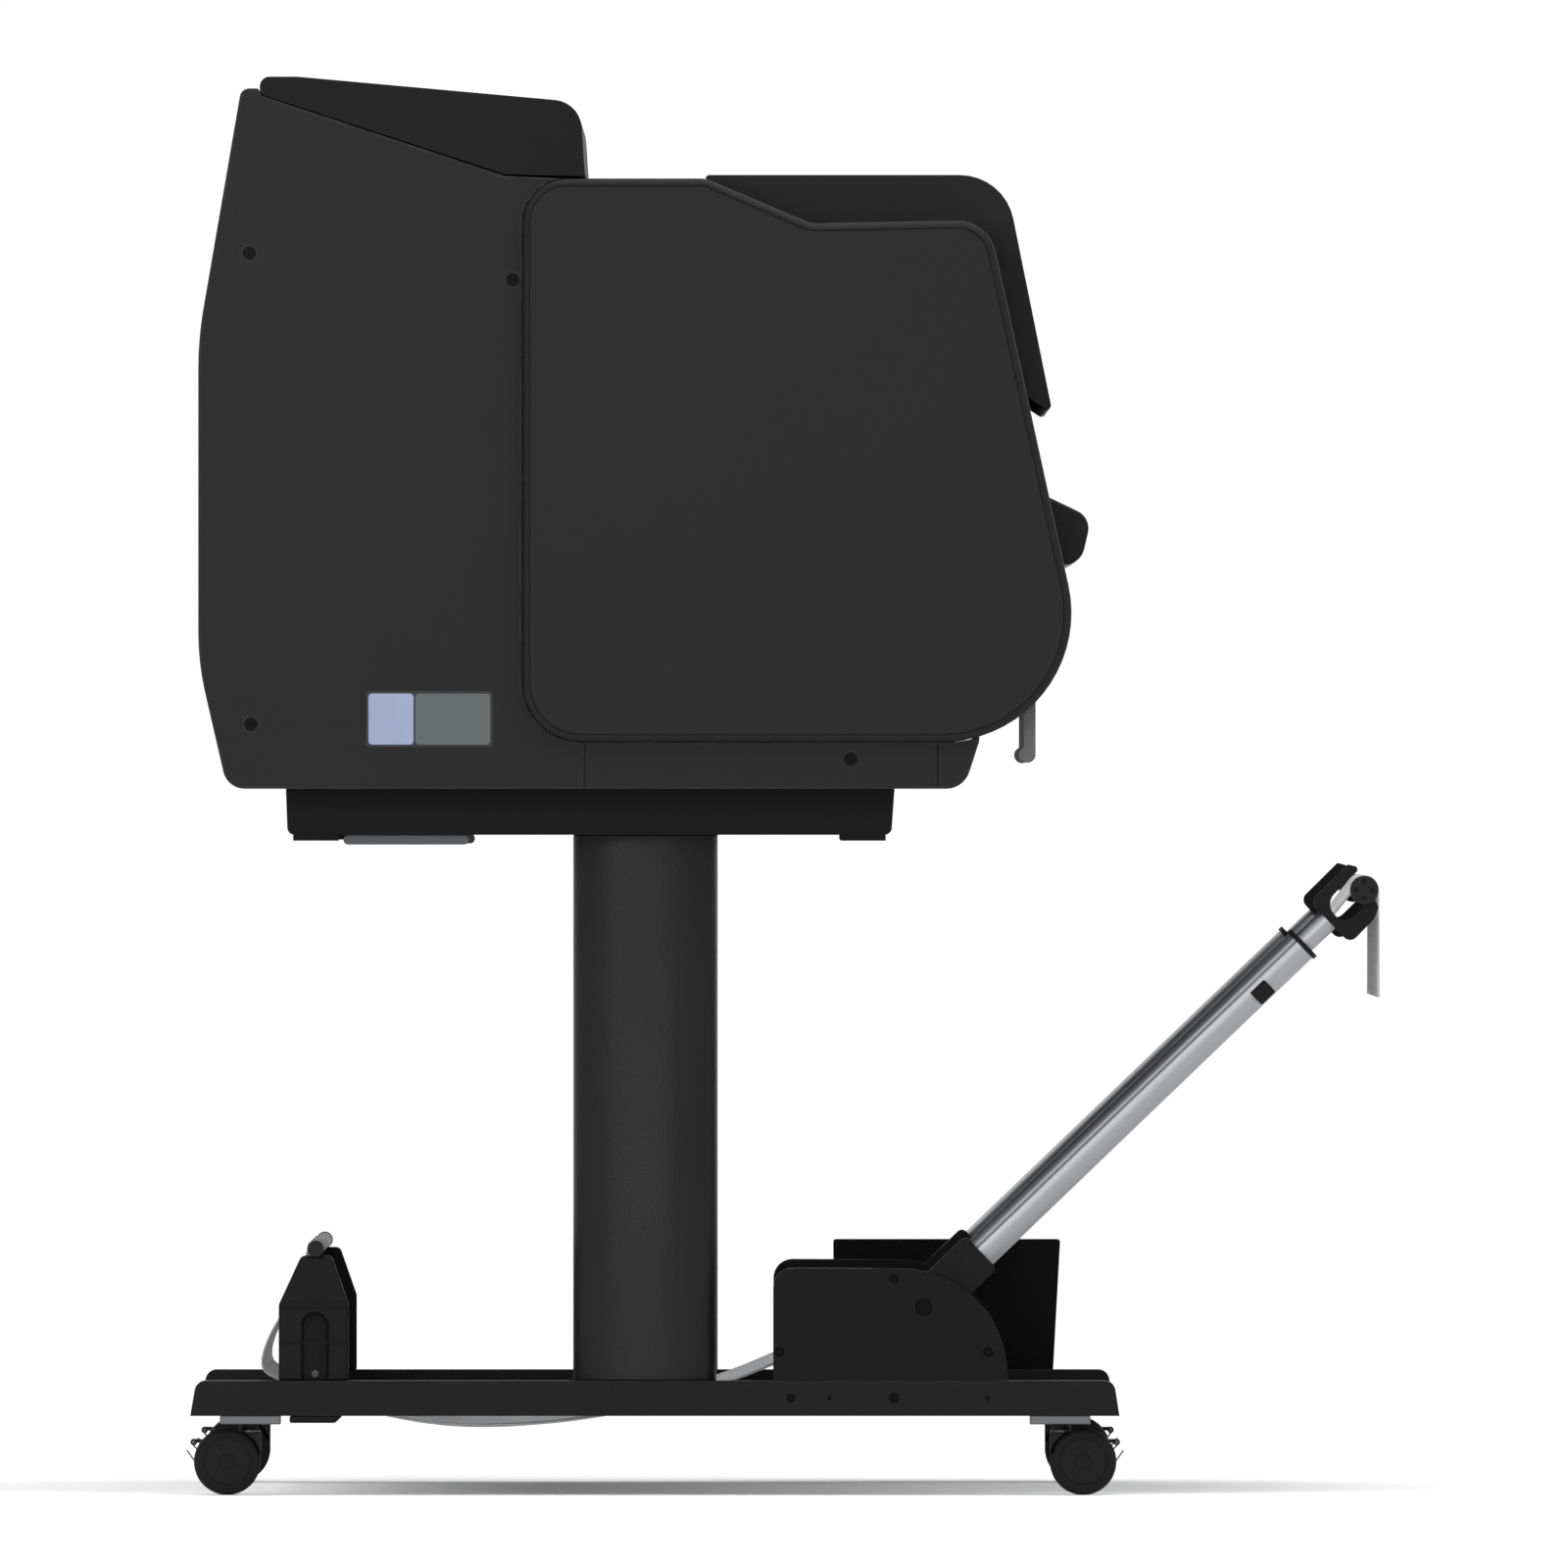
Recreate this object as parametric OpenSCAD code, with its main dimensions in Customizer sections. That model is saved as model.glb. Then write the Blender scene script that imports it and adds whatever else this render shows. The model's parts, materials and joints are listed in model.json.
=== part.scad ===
// Large format plotter on a rolling stand with a print basket.
// Frame: origin on the floor under the middle, +Z up, the front looks to -Y, the width runs along X.

/* [Body] */
// Overall width over the two end covers
body_w = 1390; // [1200:10:1700]
// Width of each end unit that holds ink and electronics
end_unit_w = 129; // [115:1:140]
// Wall thickness of the moulded casings
wall = 3; // [2.5:0.5:4]
// How far the end covers stand out from the side panels
end_step = 12; // [8:1:16]

/* [Stand] */
// Distance from the middle to each leg
leg_x = 560; // [480:10:560]
// Width of a leg's column along X
column_w = 50; // [40:1:60]
// Depth of a leg's column along Y
column_d = 118; // [90:1:130]
// Height of the underside of the base tray above the floor
tray_z = 543.7; // [540:0.1:547]
// Width of a foot rail
rail_w = 60; // [50:1:64]

/* [Casters] */
// Radius of the twin wheels
wheel_r = 27.5; // [26:0.5:27.5]
// Distance from the swivel axis to the wheel's axle
trail = 18; // [15:1:20]

/* [Basket arms] */
// Angle of the arms above level
arm_angle = 43.8; // [40:0.1:46]
// Outer radius of the fixed arm tube
arm_r = 14; // [13:0.5:14]
// Outer radius of the telescoping tube
inner_r = 9.5; // [9:0.5:9.5]
// Distance from the pivot to the end of the fixed tube
arm_len = 434; // [425:1:436]
// Distance from the pivot to the middle of the rod holder
holder_u = 480.6; // [480:0.1:484]
// Half the width of the basket cloth
cloth_x = 525; // [400:5:525]

/* [Print engine] */
// Radius of the paper feed roller
feed_r = 12; // [12:0.5:12.5]
// Radius of the pinch rollers
pinch_r = 7.8; // [7:0.1:7.8]
// Radius of the paper roll's end flanges
flange_r = 60; // [50:1:80]

/* [Hidden] */
$fn = 64;
fit = 0.05;          // radial running clearance of a shaft in its bore
slip = 0.4;          // gap round a piece that slides or swings
far = 3000;          // longer than anything here

end_x = body_w / 2;                  // outer face of an end cover
end_in_x = end_x - end_unit_w;       // inner edge of an end cover
panel_x = end_x - end_step;          // outer face of a side panel
plate_x = end_in_x - 10;             // outer face of a chassis side plate
plate_t = 4;
deck_x = plate_x - plate_t;          // inner face of a chassis side plate

// Side outlines, as [y, z, corner radius], counter-clockwise with +Y to the right
end_outline = [[-259.7, 620.2, 106], [217.5, 620.2, 48], [217.5, 1083.4, 36], [67, 1083.4, 20],
               [-20, 1046.3, 30], [-166, 1049.2, 32]];
side_outline = [[-145.5, 581.6, 20], [460.2, 581.6, 18], [484, 685, 230], [484, 952, 300],
                [448.7, 1157.5, 8], [434.5, 1157.5, 2], [432, 1151.5, 0], [232, 1085.5, 0],
                [160, 1082.5, 0], [160, 690, 0], [-164, 690, 0], [-158, 620, 0]];
roll_outline = [[166, 1085.2, 3], [232, 1087, 0], [433.4, 1153, 6], [433.4, 1167.2, 8],
                [402.8, 1167.2, 10], [170, 1146.2, 24]];
cover_outline = [[-219.5, 888.6, 4], [-60, 1000, 0], [67, 1081, 2], [67, 1087.4, 3], [-179.3, 1087.4, 45]];
guide_outline = [[-120, 868, 3], [-251, 805, 16], [-242, 766, 17], [-222, 766, 4], [-205, 800, 10],
                 [-120, 852, 3]];
plate_outline = [[-120, 584.6, 10], [445, 584.6, 10], [468, 690, 20], [468, 920, 30], [436, 1090, 10],
                 [250, 1079.4, 0], [69, 1079.4, 4], [50, 1040, 10], [-100, 1010, 30], [-114, 870, 0]];
lid_front_z = 1019;                  // seam between the left ink lid and the front of its end cover
lid_rear_y = 162;                    // hinge line of the ink lids
right_lid_y = -28;                   // front seam of the right ink lid, behind the operation panel

bottom_z = 581.6;                    // underside of the machine
rail_z = [65.2, 94.2];               // underside and top of a foot rail
column_y = 117;                      // middle of a column
stay_z = [440, 516];
rail_t = 2.5;                        // sheet thickness of a foot rail

caster_y = [-226, 443];              // swivel axes, front and rear
stem_r = 5.5;
foot_pad = [366, 409.5, 59.4];       // block under a rail, below its tower: rear and front y, underside z
axle_r = 3.5;

pivot_y = -112.8;                    // pivot of a basket arm
pivot_z = 154.7;
pin_r = 6;
socket_r = 18.8;
rod_r = 6;
rod_u = 19;                          // front rod, past the middle of its holder
rod_w = -3;                          // and across the arm
button_u = 381;                      // release button along the arm
button_w = -6;                       // and across it
holder_t = 20;                       // thickness of a rod holder
claw_back = 20;                      // from its cradle's middle back to the inner tube's end
rear_rod = [388, 203];               // rear rod of the basket in y, z
sag_y = 250;                         // lowest line of the basket cloth
sag_z = 57;

spindle = [330, 1010];               // paper roll spindle in y, z
spindle_r = 12;
feed = [38, 873];                    // feed roller in y, z
pinch_z = feed.y + feed_r + 8;
pinch_shaft_r = 3;
rail_y = [20, 44];                   // carriage rail
rail_top = 1000;
belt_r = 10;
belt_y = 60;
belt_z = 974;
motor_x = 515;
tank_w = 28;
tank_pitch = 33;

panel_rise = atan(18 / 118);         // tilt of the operation panel's face
panel_y = [-158, -40];
key_pos = [662, -138];               // power key in x, y

screw_r = 5.4;
side_screws = [[442, 1022], [225.5, 1000], [440.6, 634.7], [-52.4, 606]];
rail_screws = [[-88.3, 80, 4.8], [-3.2, 80, 4]];                      // y, z, radius
hub_screws = [[-87.8, 178, 4], [-165.6, 118, 4], [6.4, 118, 4], [pivot_y, pivot_z, 7]];
head_gap = 1.5;                      // how far a screw's head lies below the face round it

// ---- Geometry helpers -------------------------------------------------------------------------

function unit(v) = v / norm(v);
function turn(v, a) = [v.x * cos(a) - v.y * sin(a), v.x * sin(a) + v.y * cos(a)];
function flat(p) = [p.x, p.y];

// Points that round the corner b between a and c with radius r, in n steps
function corner(a, b, c, r, n) =
    let (u = unit(a - b), v = unit(c - b), half = acos(u * v) / 2)
    r == 0 ? [b] :
    let (o = b + unit(u + v) * r / sin(half), s = b + u * r / tan(half) - o,
         way = cross(s, b + v * r / tan(half) - o) > 0 ? 1 : -1)
    [for (i = [0:n]) o + turn(s, way * (180 - 2 * half) * i / n)];

// Closed outline through [y, z, radius] points with every corner rounded, in more steps on a large radius
function rounded(p, n = 7) =
    [for (i = [0:len(p) - 1])
        each corner(flat(p[(i + len(p) - 1) % len(p)]), flat(p[i]), flat(p[(i + 1) % len(p)]), p[i][2],
                    max(n, round(min(p[i][2], 110) / 6)))];

// The same outline moved inwards by t
function inset(p, t) =
    [for (i = [0:len(p) - 1])
        let (b = flat(p[i]), u = unit(b - flat(p[(i + len(p) - 1) % len(p)])),
             v = unit(flat(p[(i + 1) % len(p)]) - b), m = [-u.y - v.y, u.x + v.x],
             in = b + m * t / (1 + u * v), r = p[i][2])
        [in.x, in.y, r == 0 ? 0 : max(0.5, r - sign(cross(u, v)) * t)]];

// Closed outline of a sheet of thickness t that follows the points p
function ribbon(p, t) =
    let (m = len(p) - 1,
         n = [for (i = [0:m]) let (d = unit(p[min(i + 1, m)] - p[max(i - 1, 0)])) [-d.y, d.x] * t / 2])
    concat([for (i = [0:m]) p[i] + n[i]], [for (i = [m:-1:0]) p[i] - n[i]]);

// Carries a drawing in y, z along X from x0 to x1
module along_x(x0, x1) translate([x0, 0, 0]) rotate([90, 0, 90]) linear_extrude(x1 - x0) children();
module slab(x0, x1, p) along_x(x0, x1) polygon(p);
module bar_x(x0, x1, y, z, r) along_x(x0, x1) translate([y, z]) circle(r);
module box(x, y, z) translate([x[0], y[0], z[0]]) cube([x[1] - x[0], y[1] - y[0], z[1] - z[0]]);
module both_sides() { children(); mirror([1, 0, 0]) children(); }
module on_side(side) { if (side < 0) mirror([1, 0, 0]) children(); else children(); }

// ---- Stand ------------------------------------------------------------------------------------

// Folded channel, open underneath, on which a leg stands
module foot_rail() {
    rail = [[-273.9, rail_z[0], 0], [491.4, rail_z[0], 0], [486.4, rail_z[1], 9], [-269.4, rail_z[1], 9]];
    difference() {
        slab(leg_x - rail_w / 2, leg_x + rail_w / 2, rounded(rail));
        slab(leg_x - rail_w / 2 + rail_t, leg_x + rail_w / 2 - rail_t,
             [[-265, rail_z[0] - 1], [482, rail_z[0] - 1], [475, rail_z[1] - rail_t], [-258, rail_z[1] - rail_t]]);
        for (p = rail_screws) bar_x(leg_x + rail_w / 2 - rail_t - 1, leg_x + rail_w / 2 + 1, p.x, p.y, p[2]);
    }
}
module foot_rails() color([0.14, 0.14, 0.15]) both_sides() foot_rail();

// Tube whose section is a superellipse, flatter than an oval on its sides
module column(side) on_side(side) color([0.17, 0.17, 0.18]) difference() {
    oval(0, rail_z[1], tray_z);
    oval(3, rail_z[1] - 1, tray_z + 1);
}
module oval(t, z0, z1) translate([leg_x, column_y, z0]) linear_extrude(z1 - z0)
    polygon([for (a = [0:5:355]) [squared(cos(a)) * (column_w / 2 - t), squared(sin(a)) * (column_d / 2 - t)]]);
function squared(c) = sign(c) * pow(abs(c), 2 / 2.6);
module column_left() column(-1);
module column_right() column(1);

// Channel between the columns, open to the rear
module cross_stay() color([0.14, 0.14, 0.15]) difference() {
    box([-leg_x + column_w / 2, leg_x - column_w / 2], [column_y - 18, column_y + 18], stay_z);
    box([-leg_x + column_w / 2 + 2, leg_x - column_w / 2 - 2], [column_y - 16, column_y + 19],
        [stay_z[0] + 2, stay_z[1] - 2]);
}

// Screw whose head looks outwards along +X, at x with its seat at x - head
module screw_x(x, y, z, r, head, shank) {
    difference() {
        bar_x(x - head, x, y, z, r);
        along_x(x - 1.2, x + 1) translate([y, z]) circle(r * 0.45, $fn = 6);
    }
    bar_x(x - head - shank, x - head, y, z, 2);
}
module screws() color([0.1, 0.1, 0.1]) both_sides() {
    for (p = side_screws) screw_x(panel_x - 0.6, p.x, p.y, screw_r, 1.4, 6);
    for (p = rail_screws) bar_x(leg_x + rail_w / 2 - rail_t, leg_x + rail_w / 2 - head_gap, p.x, p.y, p[2]);
    for (p = hub_screws) bar_x(leg_x + rail_w / 2 - 4, leg_x + rail_w / 2 - head_gap, p.x, p.y, p[2] * 0.8);
}

// ---- Casters ----------------------------------------------------------------------------------

// Puts a caster, drawn with its swivel axis on Z and its wheel towards +Y, at a rail's end
module at_caster(side, row) translate([side * leg_x, caster_y[row], 0])
    mirror([0, row == 0 ? 1 : 0, 0]) children();

// Four bolted plates under the rails' ends
module caster_plates() color([0.66, 0.66, 0.67]) for (s = [-1, 1], r = [0, 1]) at_caster(s, r)
    difference() {
        box([-rail_w / 2, rail_w / 2], [-26, 24], [58.2, rail_z[0]]);
        translate([0, 0, 57]) cylinder(h = 6.4, r = stem_r + fit);
    }

// Stem, web between the wheels, and a hood over them that carries the brake's knuckle
module caster_fork(side, row) at_caster(side, row) color([0.13, 0.13, 0.14]) {
    hood_x = 22;
    knuckle = [trail + 27.7, 43.5];
    difference() {
        union() {
            translate([0, 0, 50]) cylinder(h = 13, r = stem_r);
            slab(-4, 4, rounded([[-9.6, 20, 4], [trail, 18, 4], [trail + 9, 27.5, 5], [trail + 5, 54, 3],
                                 [-9.6, 54, 3]], 4));
            difference() {
                slab(-hood_x, hood_x, concat([[-9.6, 22], [-9.6, 50]], [[-5, 57]],
                    [for (a = [100:-10:32]) [trail, wheel_r] + 29.5 * [cos(a), sin(a)]], [[trail, 22]]));
                bar_x(-hood_x - 1, hood_x + 1, trail, wheel_r, wheel_r + 0.8);
            }
            bar_x(-8, 8, knuckle.x, knuckle.y, 2.8);
        }
        bar_x(-5, 5, trail, wheel_r, axle_r + fit);
        bar_x(-9, 9, knuckle.x, knuckle.y, 1.5 + fit);
        box([-30, -4], [-8.4, 60], [0, 46]);
        box([4, 30], [-8.4, 60], [0, 46]);
    }
}

// Two discs joined by the axle that turns in the web
module caster_wheel(side, row) at_caster(side, row) color([0.12, 0.12, 0.12]) {
    bar_x(-21, 21, trail, wheel_r, axle_r);
    for (s = [-1, 1]) mirror([s < 0 ? 1 : 0, 0, 0]) difference() {
        translate([5, trail, wheel_r]) rotate([0, 90, 0]) rotate_extrude()
            polygon([[0, 0], [wheel_r - 2, 0], [wheel_r, 2], [wheel_r, 14], [wheel_r - 2, 16], [0, 16]]);
        translate([19, trail, wheel_r]) rotate([0, 90, 0]) rotate_extrude()
            polygon([[8, 0], [20, 0], [21, 4], [8, 4]]);
    }
}

// Lever that hangs outside the wheels and turns on a pin through the hood's knuckle
module brake_pedal(side, row) at_caster(side, row) color([0.3, 0.3, 0.3]) {
    knuckle = [trail + 27.7, 43.5];
    bar_x(-12, 12, knuckle.x, knuckle.y, 1.5);
    for (x = [-12, 8.5]) slab(x, x + 3.5, rounded([[knuckle.x - 2.6, 46, 2], [knuckle.x - 2.6, 41, 1],
        [trail + 29.6, 34, 1], [trail + 32, 34, 1], [knuckle.x + 3, 46, 2]], 3));
    slab(-12, 12, rounded([[trail + 29.6, 36.5, 0.8], [trail + 29.6, 23, 0.8], [trail + 32, 22, 0.8],
        [trail + 32, 36.5, 0.8]], 3));
}

module caster_fork_fl() caster_fork(-1, 0);
module caster_fork_fr() caster_fork(1, 0);
module caster_fork_rl() caster_fork(-1, 1);
module caster_fork_rr() caster_fork(1, 1);
module caster_wheel_fl() caster_wheel(-1, 0);
module caster_wheel_fr() caster_wheel(1, 0);
module caster_wheel_rl() caster_wheel(-1, 1);
module caster_wheel_rr() caster_wheel(1, 1);
module brake_pedal_fl() brake_pedal(-1, 0);
module brake_pedal_fr() brake_pedal(1, 0);
module brake_pedal_rl() brake_pedal(-1, 1);
module brake_pedal_rr() brake_pedal(1, 1);

// ---- Basket -----------------------------------------------------------------------------------

// Housing on the rail with a slot for the arm's socket and a pin across it
module arm_hubs() color([0.12, 0.12, 0.13]) both_sides() {
    hub = [[-181.8, rail_z[1], 0], [11.3, rail_z[1], 0], [11.3, 187, 16], [-181.8, 186, 88]];
    difference() {
        slab(leg_x - 30, leg_x + 30, rounded(hub));
        box([leg_x - 21, leg_x + 21], [-200, -70], [106, 200]);
        for (p = hub_screws) bar_x(leg_x + rail_w / 2 - 4, leg_x + rail_w / 2 + 1, p.x, p.y, p[2]);
    }
    bar_x(leg_x - 21, leg_x + 21, pivot_y, pivot_z, pin_r);
}

// Short posts behind the columns that hold the basket's rear rod in a notch, and their blocks under the rails
module rear_towers() color([0.11, 0.11, 0.12]) both_sides() {
    slot = [388.7, 139.6, 10.4];
    difference() {
        slab(leg_x - 25, leg_x + 25, rounded([[361, rail_z[1], 0], [418.5, rail_z[1], 0], [418.5, 157, 6],
            [400, 197, 5], [375, 197, 5], [361, 157, 6]]));
        bar_x(leg_x - 26, leg_x + 26, rear_rod.x, rear_rod.y, rod_r + 0.2);
        bar_x(leg_x + 15, leg_x + 26, slot.x, slot.y, slot[2]);
        box([leg_x + 15, leg_x + 26], [slot.x - slot[2], slot.x + slot[2]], [rail_z[1] - 1, slot.y]);
    }
    slab(leg_x - rail_w / 2, leg_x + rail_w / 2, [[foot_pad.x + 6, foot_pad.z], [foot_pad.y, foot_pad.z],
        [foot_pad.y, rail_z[0]], [foot_pad.x, rail_z[0]]]);
}

module rear_rod() color([0.3, 0.3, 0.31]) {
    bar_x(-leg_x - 27, leg_x + 27, rear_rod.x, rear_rod.y, rod_r);
    both_sides() bar_x(leg_x + 27, leg_x + 32, rear_rod.x, rear_rod.y, 6.8);
}

// Arm coordinates: the arm runs along -Y from its pivot, and Z is across it
module arm_frame() translate([leg_x, pivot_y, pivot_z]) rotate([-arm_angle, 0, 0]) children();
module bar_u(u0, u1, r) translate([0, -u0, 0]) rotate([90, 0, 0]) cylinder(h = u1 - u0, r = r);

module arm_sockets() color([0.1, 0.1, 0.11]) both_sides() arm_frame() {
    difference() {
        slab(-20, 20, rounded([[-65.5, -socket_r, 5], [0, -socket_r, 14], [socket_r, -8, 8],
            [socket_r, 8, 8], [0, socket_r, 14], [-65.5, socket_r, 5]]));
        bar_x(-21, 21, 0, 0, pin_r + fit);
        bar_u(24, 66, arm_r);
    }
    difference() {
        bar_u(arm_len - 4, arm_len, arm_r + 1.6);
        bar_u(arm_len - 5, arm_len - 1.5, arm_r);
        bar_u(arm_len - 5, arm_len + 1, inner_r + 0.5);
    }
}

module arm_tubes() color([0.66, 0.67, 0.7]) both_sides() arm_frame() difference() {
    bar_u(24, arm_len - 1.5, arm_r);
    bar_u(23, arm_len, arm_r - 2);
    box([10.5, 20], [-button_u - 8 - slip, -button_u + 8 + slip], [button_w - 7 - slip, button_w + 7 + slip]);
}

module inner_tubes() color([0.6, 0.61, 0.63]) both_sides() arm_frame() difference() {
    bar_u(150, holder_u - claw_back, inner_r);
    bar_u(149, holder_u - claw_back - 2, inner_r - 1.5);
}

// Plate with two claws round an empty cradle, and a ring for the rod between their tips
module rod_holders() color([0.13, 0.13, 0.14]) both_sides() arm_frame() translate([0, -holder_u, 0]) {
    claws = [[claw_back, 20.8, 7], [claw_back, -27, 7], [-8, -26, 9], [-18, -21.5, 4], [-20, -12.5, 2],
             [12.6, -12.8, 10], [12.6, 11.5, 12], [-26, 12, 1.5], [-28, 15, 1.5], [-24, 21.5, 2]];
    difference() {
        union() {
            slab(-holder_t / 2, holder_t / 2, rounded(claws));
            bar_x(-holder_t / 2, holder_t / 2, -rod_u, rod_w, 10);
        }
        bar_x(-holder_t, holder_t, -rod_u, rod_w, rod_r + fit);
    }
}

module front_rod() color([0.2, 0.2, 0.21]) both_sides() arm_frame() translate([0, -holder_u - rod_u, rod_w]) {
    bar_x(-leg_x, holder_t / 2 + 1, 0, 0, rod_r);
    difference() {
        bar_x(holder_t / 2 + 1, holder_t / 2 + 9, 0, 0, 11.8);
        for (a = [45:90:359]) rotate([a, 0, 0]) bar_x(holder_t / 2 + 4, holder_t / 2 + 10, 6.8, 0, 2.4);
    }
}

module release_button(side) on_side(side) color([0.1, 0.1, 0.1]) arm_frame()
    box([12.5, 16.5], [-button_u - 8, -button_u + 8], [button_w - 7, button_w + 7]);
module release_button_left() release_button(-1);
module release_button_right() release_button(1);

// Sheet from the rear rod down behind the towers, under the columns and up to the arms' pivots
module basket_cloth_rear() color([0.75, 0.75, 0.75]) slab(-cloth_x, cloth_x, ribbon(concat(
    [[397, 200], [405, 180], [414, 155], [423.7, 137], [431.8, 118]],
    [for (y = [434:-25:10]) [y, sag_z + (y > sag_y ? 0.00132 : 0.0009) * pow(y - sag_y, 2)]], [[-55, 129]]), 2));

// Sheet that runs along the arms up to the front rod
module basket_cloth_front() color([0.75, 0.75, 0.75]) arm_frame()
    box([-leg_x - cloth_x, -leg_x + cloth_x], [-holder_u + 11, -70], [-1, 1]);

// Open box for tools and papers on the outside of the right leg
module accessory_pocket() color([0.07, 0.07, 0.07]) {
    pocket = [[-223.5, 91, 3], [-39, 91, 3], [-39, 203, 2], [-229.6, 203, 2]];
    difference() {
        slab(leg_x + rail_w / 2, leg_x + 118, rounded(pocket));
        slab(leg_x + rail_w / 2 + wall, leg_x + 115, rounded(inset(concat([[-39, 210, 0], [-230, 210, 0]],
            [pocket[0], pocket[1]]), wall)));
    }
}

// ---- Casings ----------------------------------------------------------------------------------

module base_tray() color([0.11, 0.11, 0.12]) {
    difference() {
        slab(-620, 620, rounded([[-86, tray_z, 6], [411, tray_z, 6], [412.4, bottom_z, 0], [-88.6, bottom_z, 0]]));
        box([-leg_x + 40, leg_x - 40], [-80, 404], [tray_z - 1, bottom_z - 4]);
    }
    both_sides() for (y = [-81.4, 369]) box([594, 617], [y, y + 37.5], [tray_z - 4.8, tray_z]);
}

// Rear wall and floor of the casing, folded from one outline
module rear_cover() color([0.18, 0.18, 0.19]) difference() {
    intersection() {
        slab(-panel_x + wall, panel_x - wall, rounded(side_outline));
        union() {
            box([-far, far], [434, 500], [bottom_z, 1158]);
            box([-far, far], [-170, 500], [bottom_z, 618]);
            box([-end_in_x + 2, end_in_x - 2], [-170, -100], [bottom_z, 633]);
        }
    }
    slab(-far, far, rounded(inset(side_outline, wall)));
    box([-far, far], [-150, 431], [590, 2000]);
    box([385, 415], [470, 500], [705, 729]);
    for (x = [-560:16:-240], z = [720, 800]) box([x - 2, x + 2], [470, 490], [z - 30, z + 30]);
}

module side_panel(side) on_side(side) color([0.18, 0.18, 0.19]) difference() {
    slab(panel_x - wall, panel_x, rounded(side_outline));
    slab(panel_x - wall - 1, panel_x + 1, rounded(inset(end_outline, -slip)));
    for (p = side_screws) {
        bar_x(panel_x - 2, panel_x + 1, p.x, p.y, screw_r + 0.2);
        bar_x(panel_x - 4, panel_x, p.x, p.y, 2);
    }
    for (y = [-124, 166.7]) box([panel_x - 0.8, panel_x + 1], [y - 0.6, y + 0.6], [bottom_z - 1, 625]);
}
module side_panel_left() side_panel(-1);
module side_panel_right() side_panel(1);

// Opening under an ink lid; grow makes it smaller for the lid itself
module lid_window(side, grow) box([end_in_x - 1, panel_x - grow],
    [(side < 0 ? -far : right_lid_y) + grow, lid_rear_y - grow], [lid_front_z + grow, 1100]);

// End shell, open towards the middle, with a shelf under the ink tanks
module end_cover(side) on_side(side) color([0.18, 0.18, 0.19]) {
    difference() {
        slab(end_in_x, end_x, rounded(end_outline));
        slab(end_in_x - 1, end_x - wall, rounded(inset(end_outline, wall)));
        lid_window(side, 0);
        if (side > 0) {
            box([end_x - wall - 1, end_x + 1], [-66, 66], [644, 736]);
            key_bore(6.4);
        }
    }
    intersection() {
        box([end_in_x, end_x - wall], [-far, far], [847, 850]);
        slab(end_in_x, end_x, rounded(inset(end_outline, wall)));
    }
    if (side > 0) box([end_in_x, end_x - wall], [-60, 60], [623.2, 645.6]);
}
module end_cover_left() end_cover(-1);
module end_cover_right() end_cover(1);

// Lid that carries on the end cover's outline between the two seams
module ink_lid(side) on_side(side) color([0.18, 0.18, 0.19]) intersection() {
    difference() {
        slab(end_in_x, panel_x - slip, rounded(end_outline));
        slab(end_in_x - 1, panel_x, rounded(inset(end_outline, wall)));
    }
    lid_window(side, slip);
}
module ink_lid_left() ink_lid(-1);
module ink_lid_right() ink_lid(1);

// Curved sheet below the paper exit
module front_panel() color([0.16, 0.16, 0.17]) intersection() {
    difference() {
        slab(-end_in_x + 2, end_in_x - 2, rounded(inset(end_outline, 12)));
        slab(-far, far, rounded(inset(end_outline, 12 + wall)));
    }
    box([-far, far], [-300, -121], [600, 765.6]);
}

// Fixed strip between the roll cover and the top cover, with the sheet feed slot
module feed_deck() color([0.15, 0.15, 0.16]) difference() {
    box([-end_in_x + 2, end_in_x - 2], [70, 163], [1079.4, 1083.4]);
    box([-460, 460], [128, 136], [1078, 1085]);
}

// Hood over the carriage, with closed ends and a window in its top
module top_cover() color([0.15, 0.15, 0.16]) {
    ends = end_in_x - 4;
    difference() {
        slab(-ends, ends, rounded(cover_outline));
        slab(-ends + wall, ends - wall, rounded(inset(cover_outline, wall)));
        slab(-ends + wall, ends - wall, [[-211, 880], [-80, 960], [66, 1070], [60, 1083], [-100, 1040],
            [-208, 905]]);
        box([-470, 470], [-120, 30], [1080, 1090]);
    }
}
module cover_window() color([0.1, 0.1, 0.12, 0.6]) box([-470, 470], [-120, 30], [1084.4, 1086.9]);

module roll_cover() color([0.14, 0.14, 0.15]) difference() {
    slab(-panel_x, panel_x, rounded(roll_outline));
    for (drop = [0, -8]) translate([0, 0, drop])
        slab(-panel_x + wall, panel_x - wall, rounded(inset(roll_outline, wall)));
}

// Lip that leads the print out of the machine
module exit_guide() color([0.15, 0.15, 0.16]) slab(-end_in_x + 2, end_in_x - 2, rounded(guide_outline));

// Two pegs under the front corners
module rod_hooks() color([0.42, 0.42, 0.43]) both_sides() difference() {
    union() {
        box([633, 645], [-204.6, -195], [608, 660]);
        bar_x(633, 645, -197.8, 609.8, 6.8);
    }
    slab(600, 700, rounded(end_outline));
}

// ---- Operation panel --------------------------------------------------------------------------

// Places things square to the panel's tilted face at x, y
module on_panel(x, y) translate([x, y, 1062 + (y - panel_y[0]) * tan(panel_rise)])
    rotate([panel_rise, 0, 0]) children();
module key_bore(depth) on_panel(key_pos.x, key_pos.y) translate([0, 0, -depth]) cylinder(h = depth + 1, r = 5.2);

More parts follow.
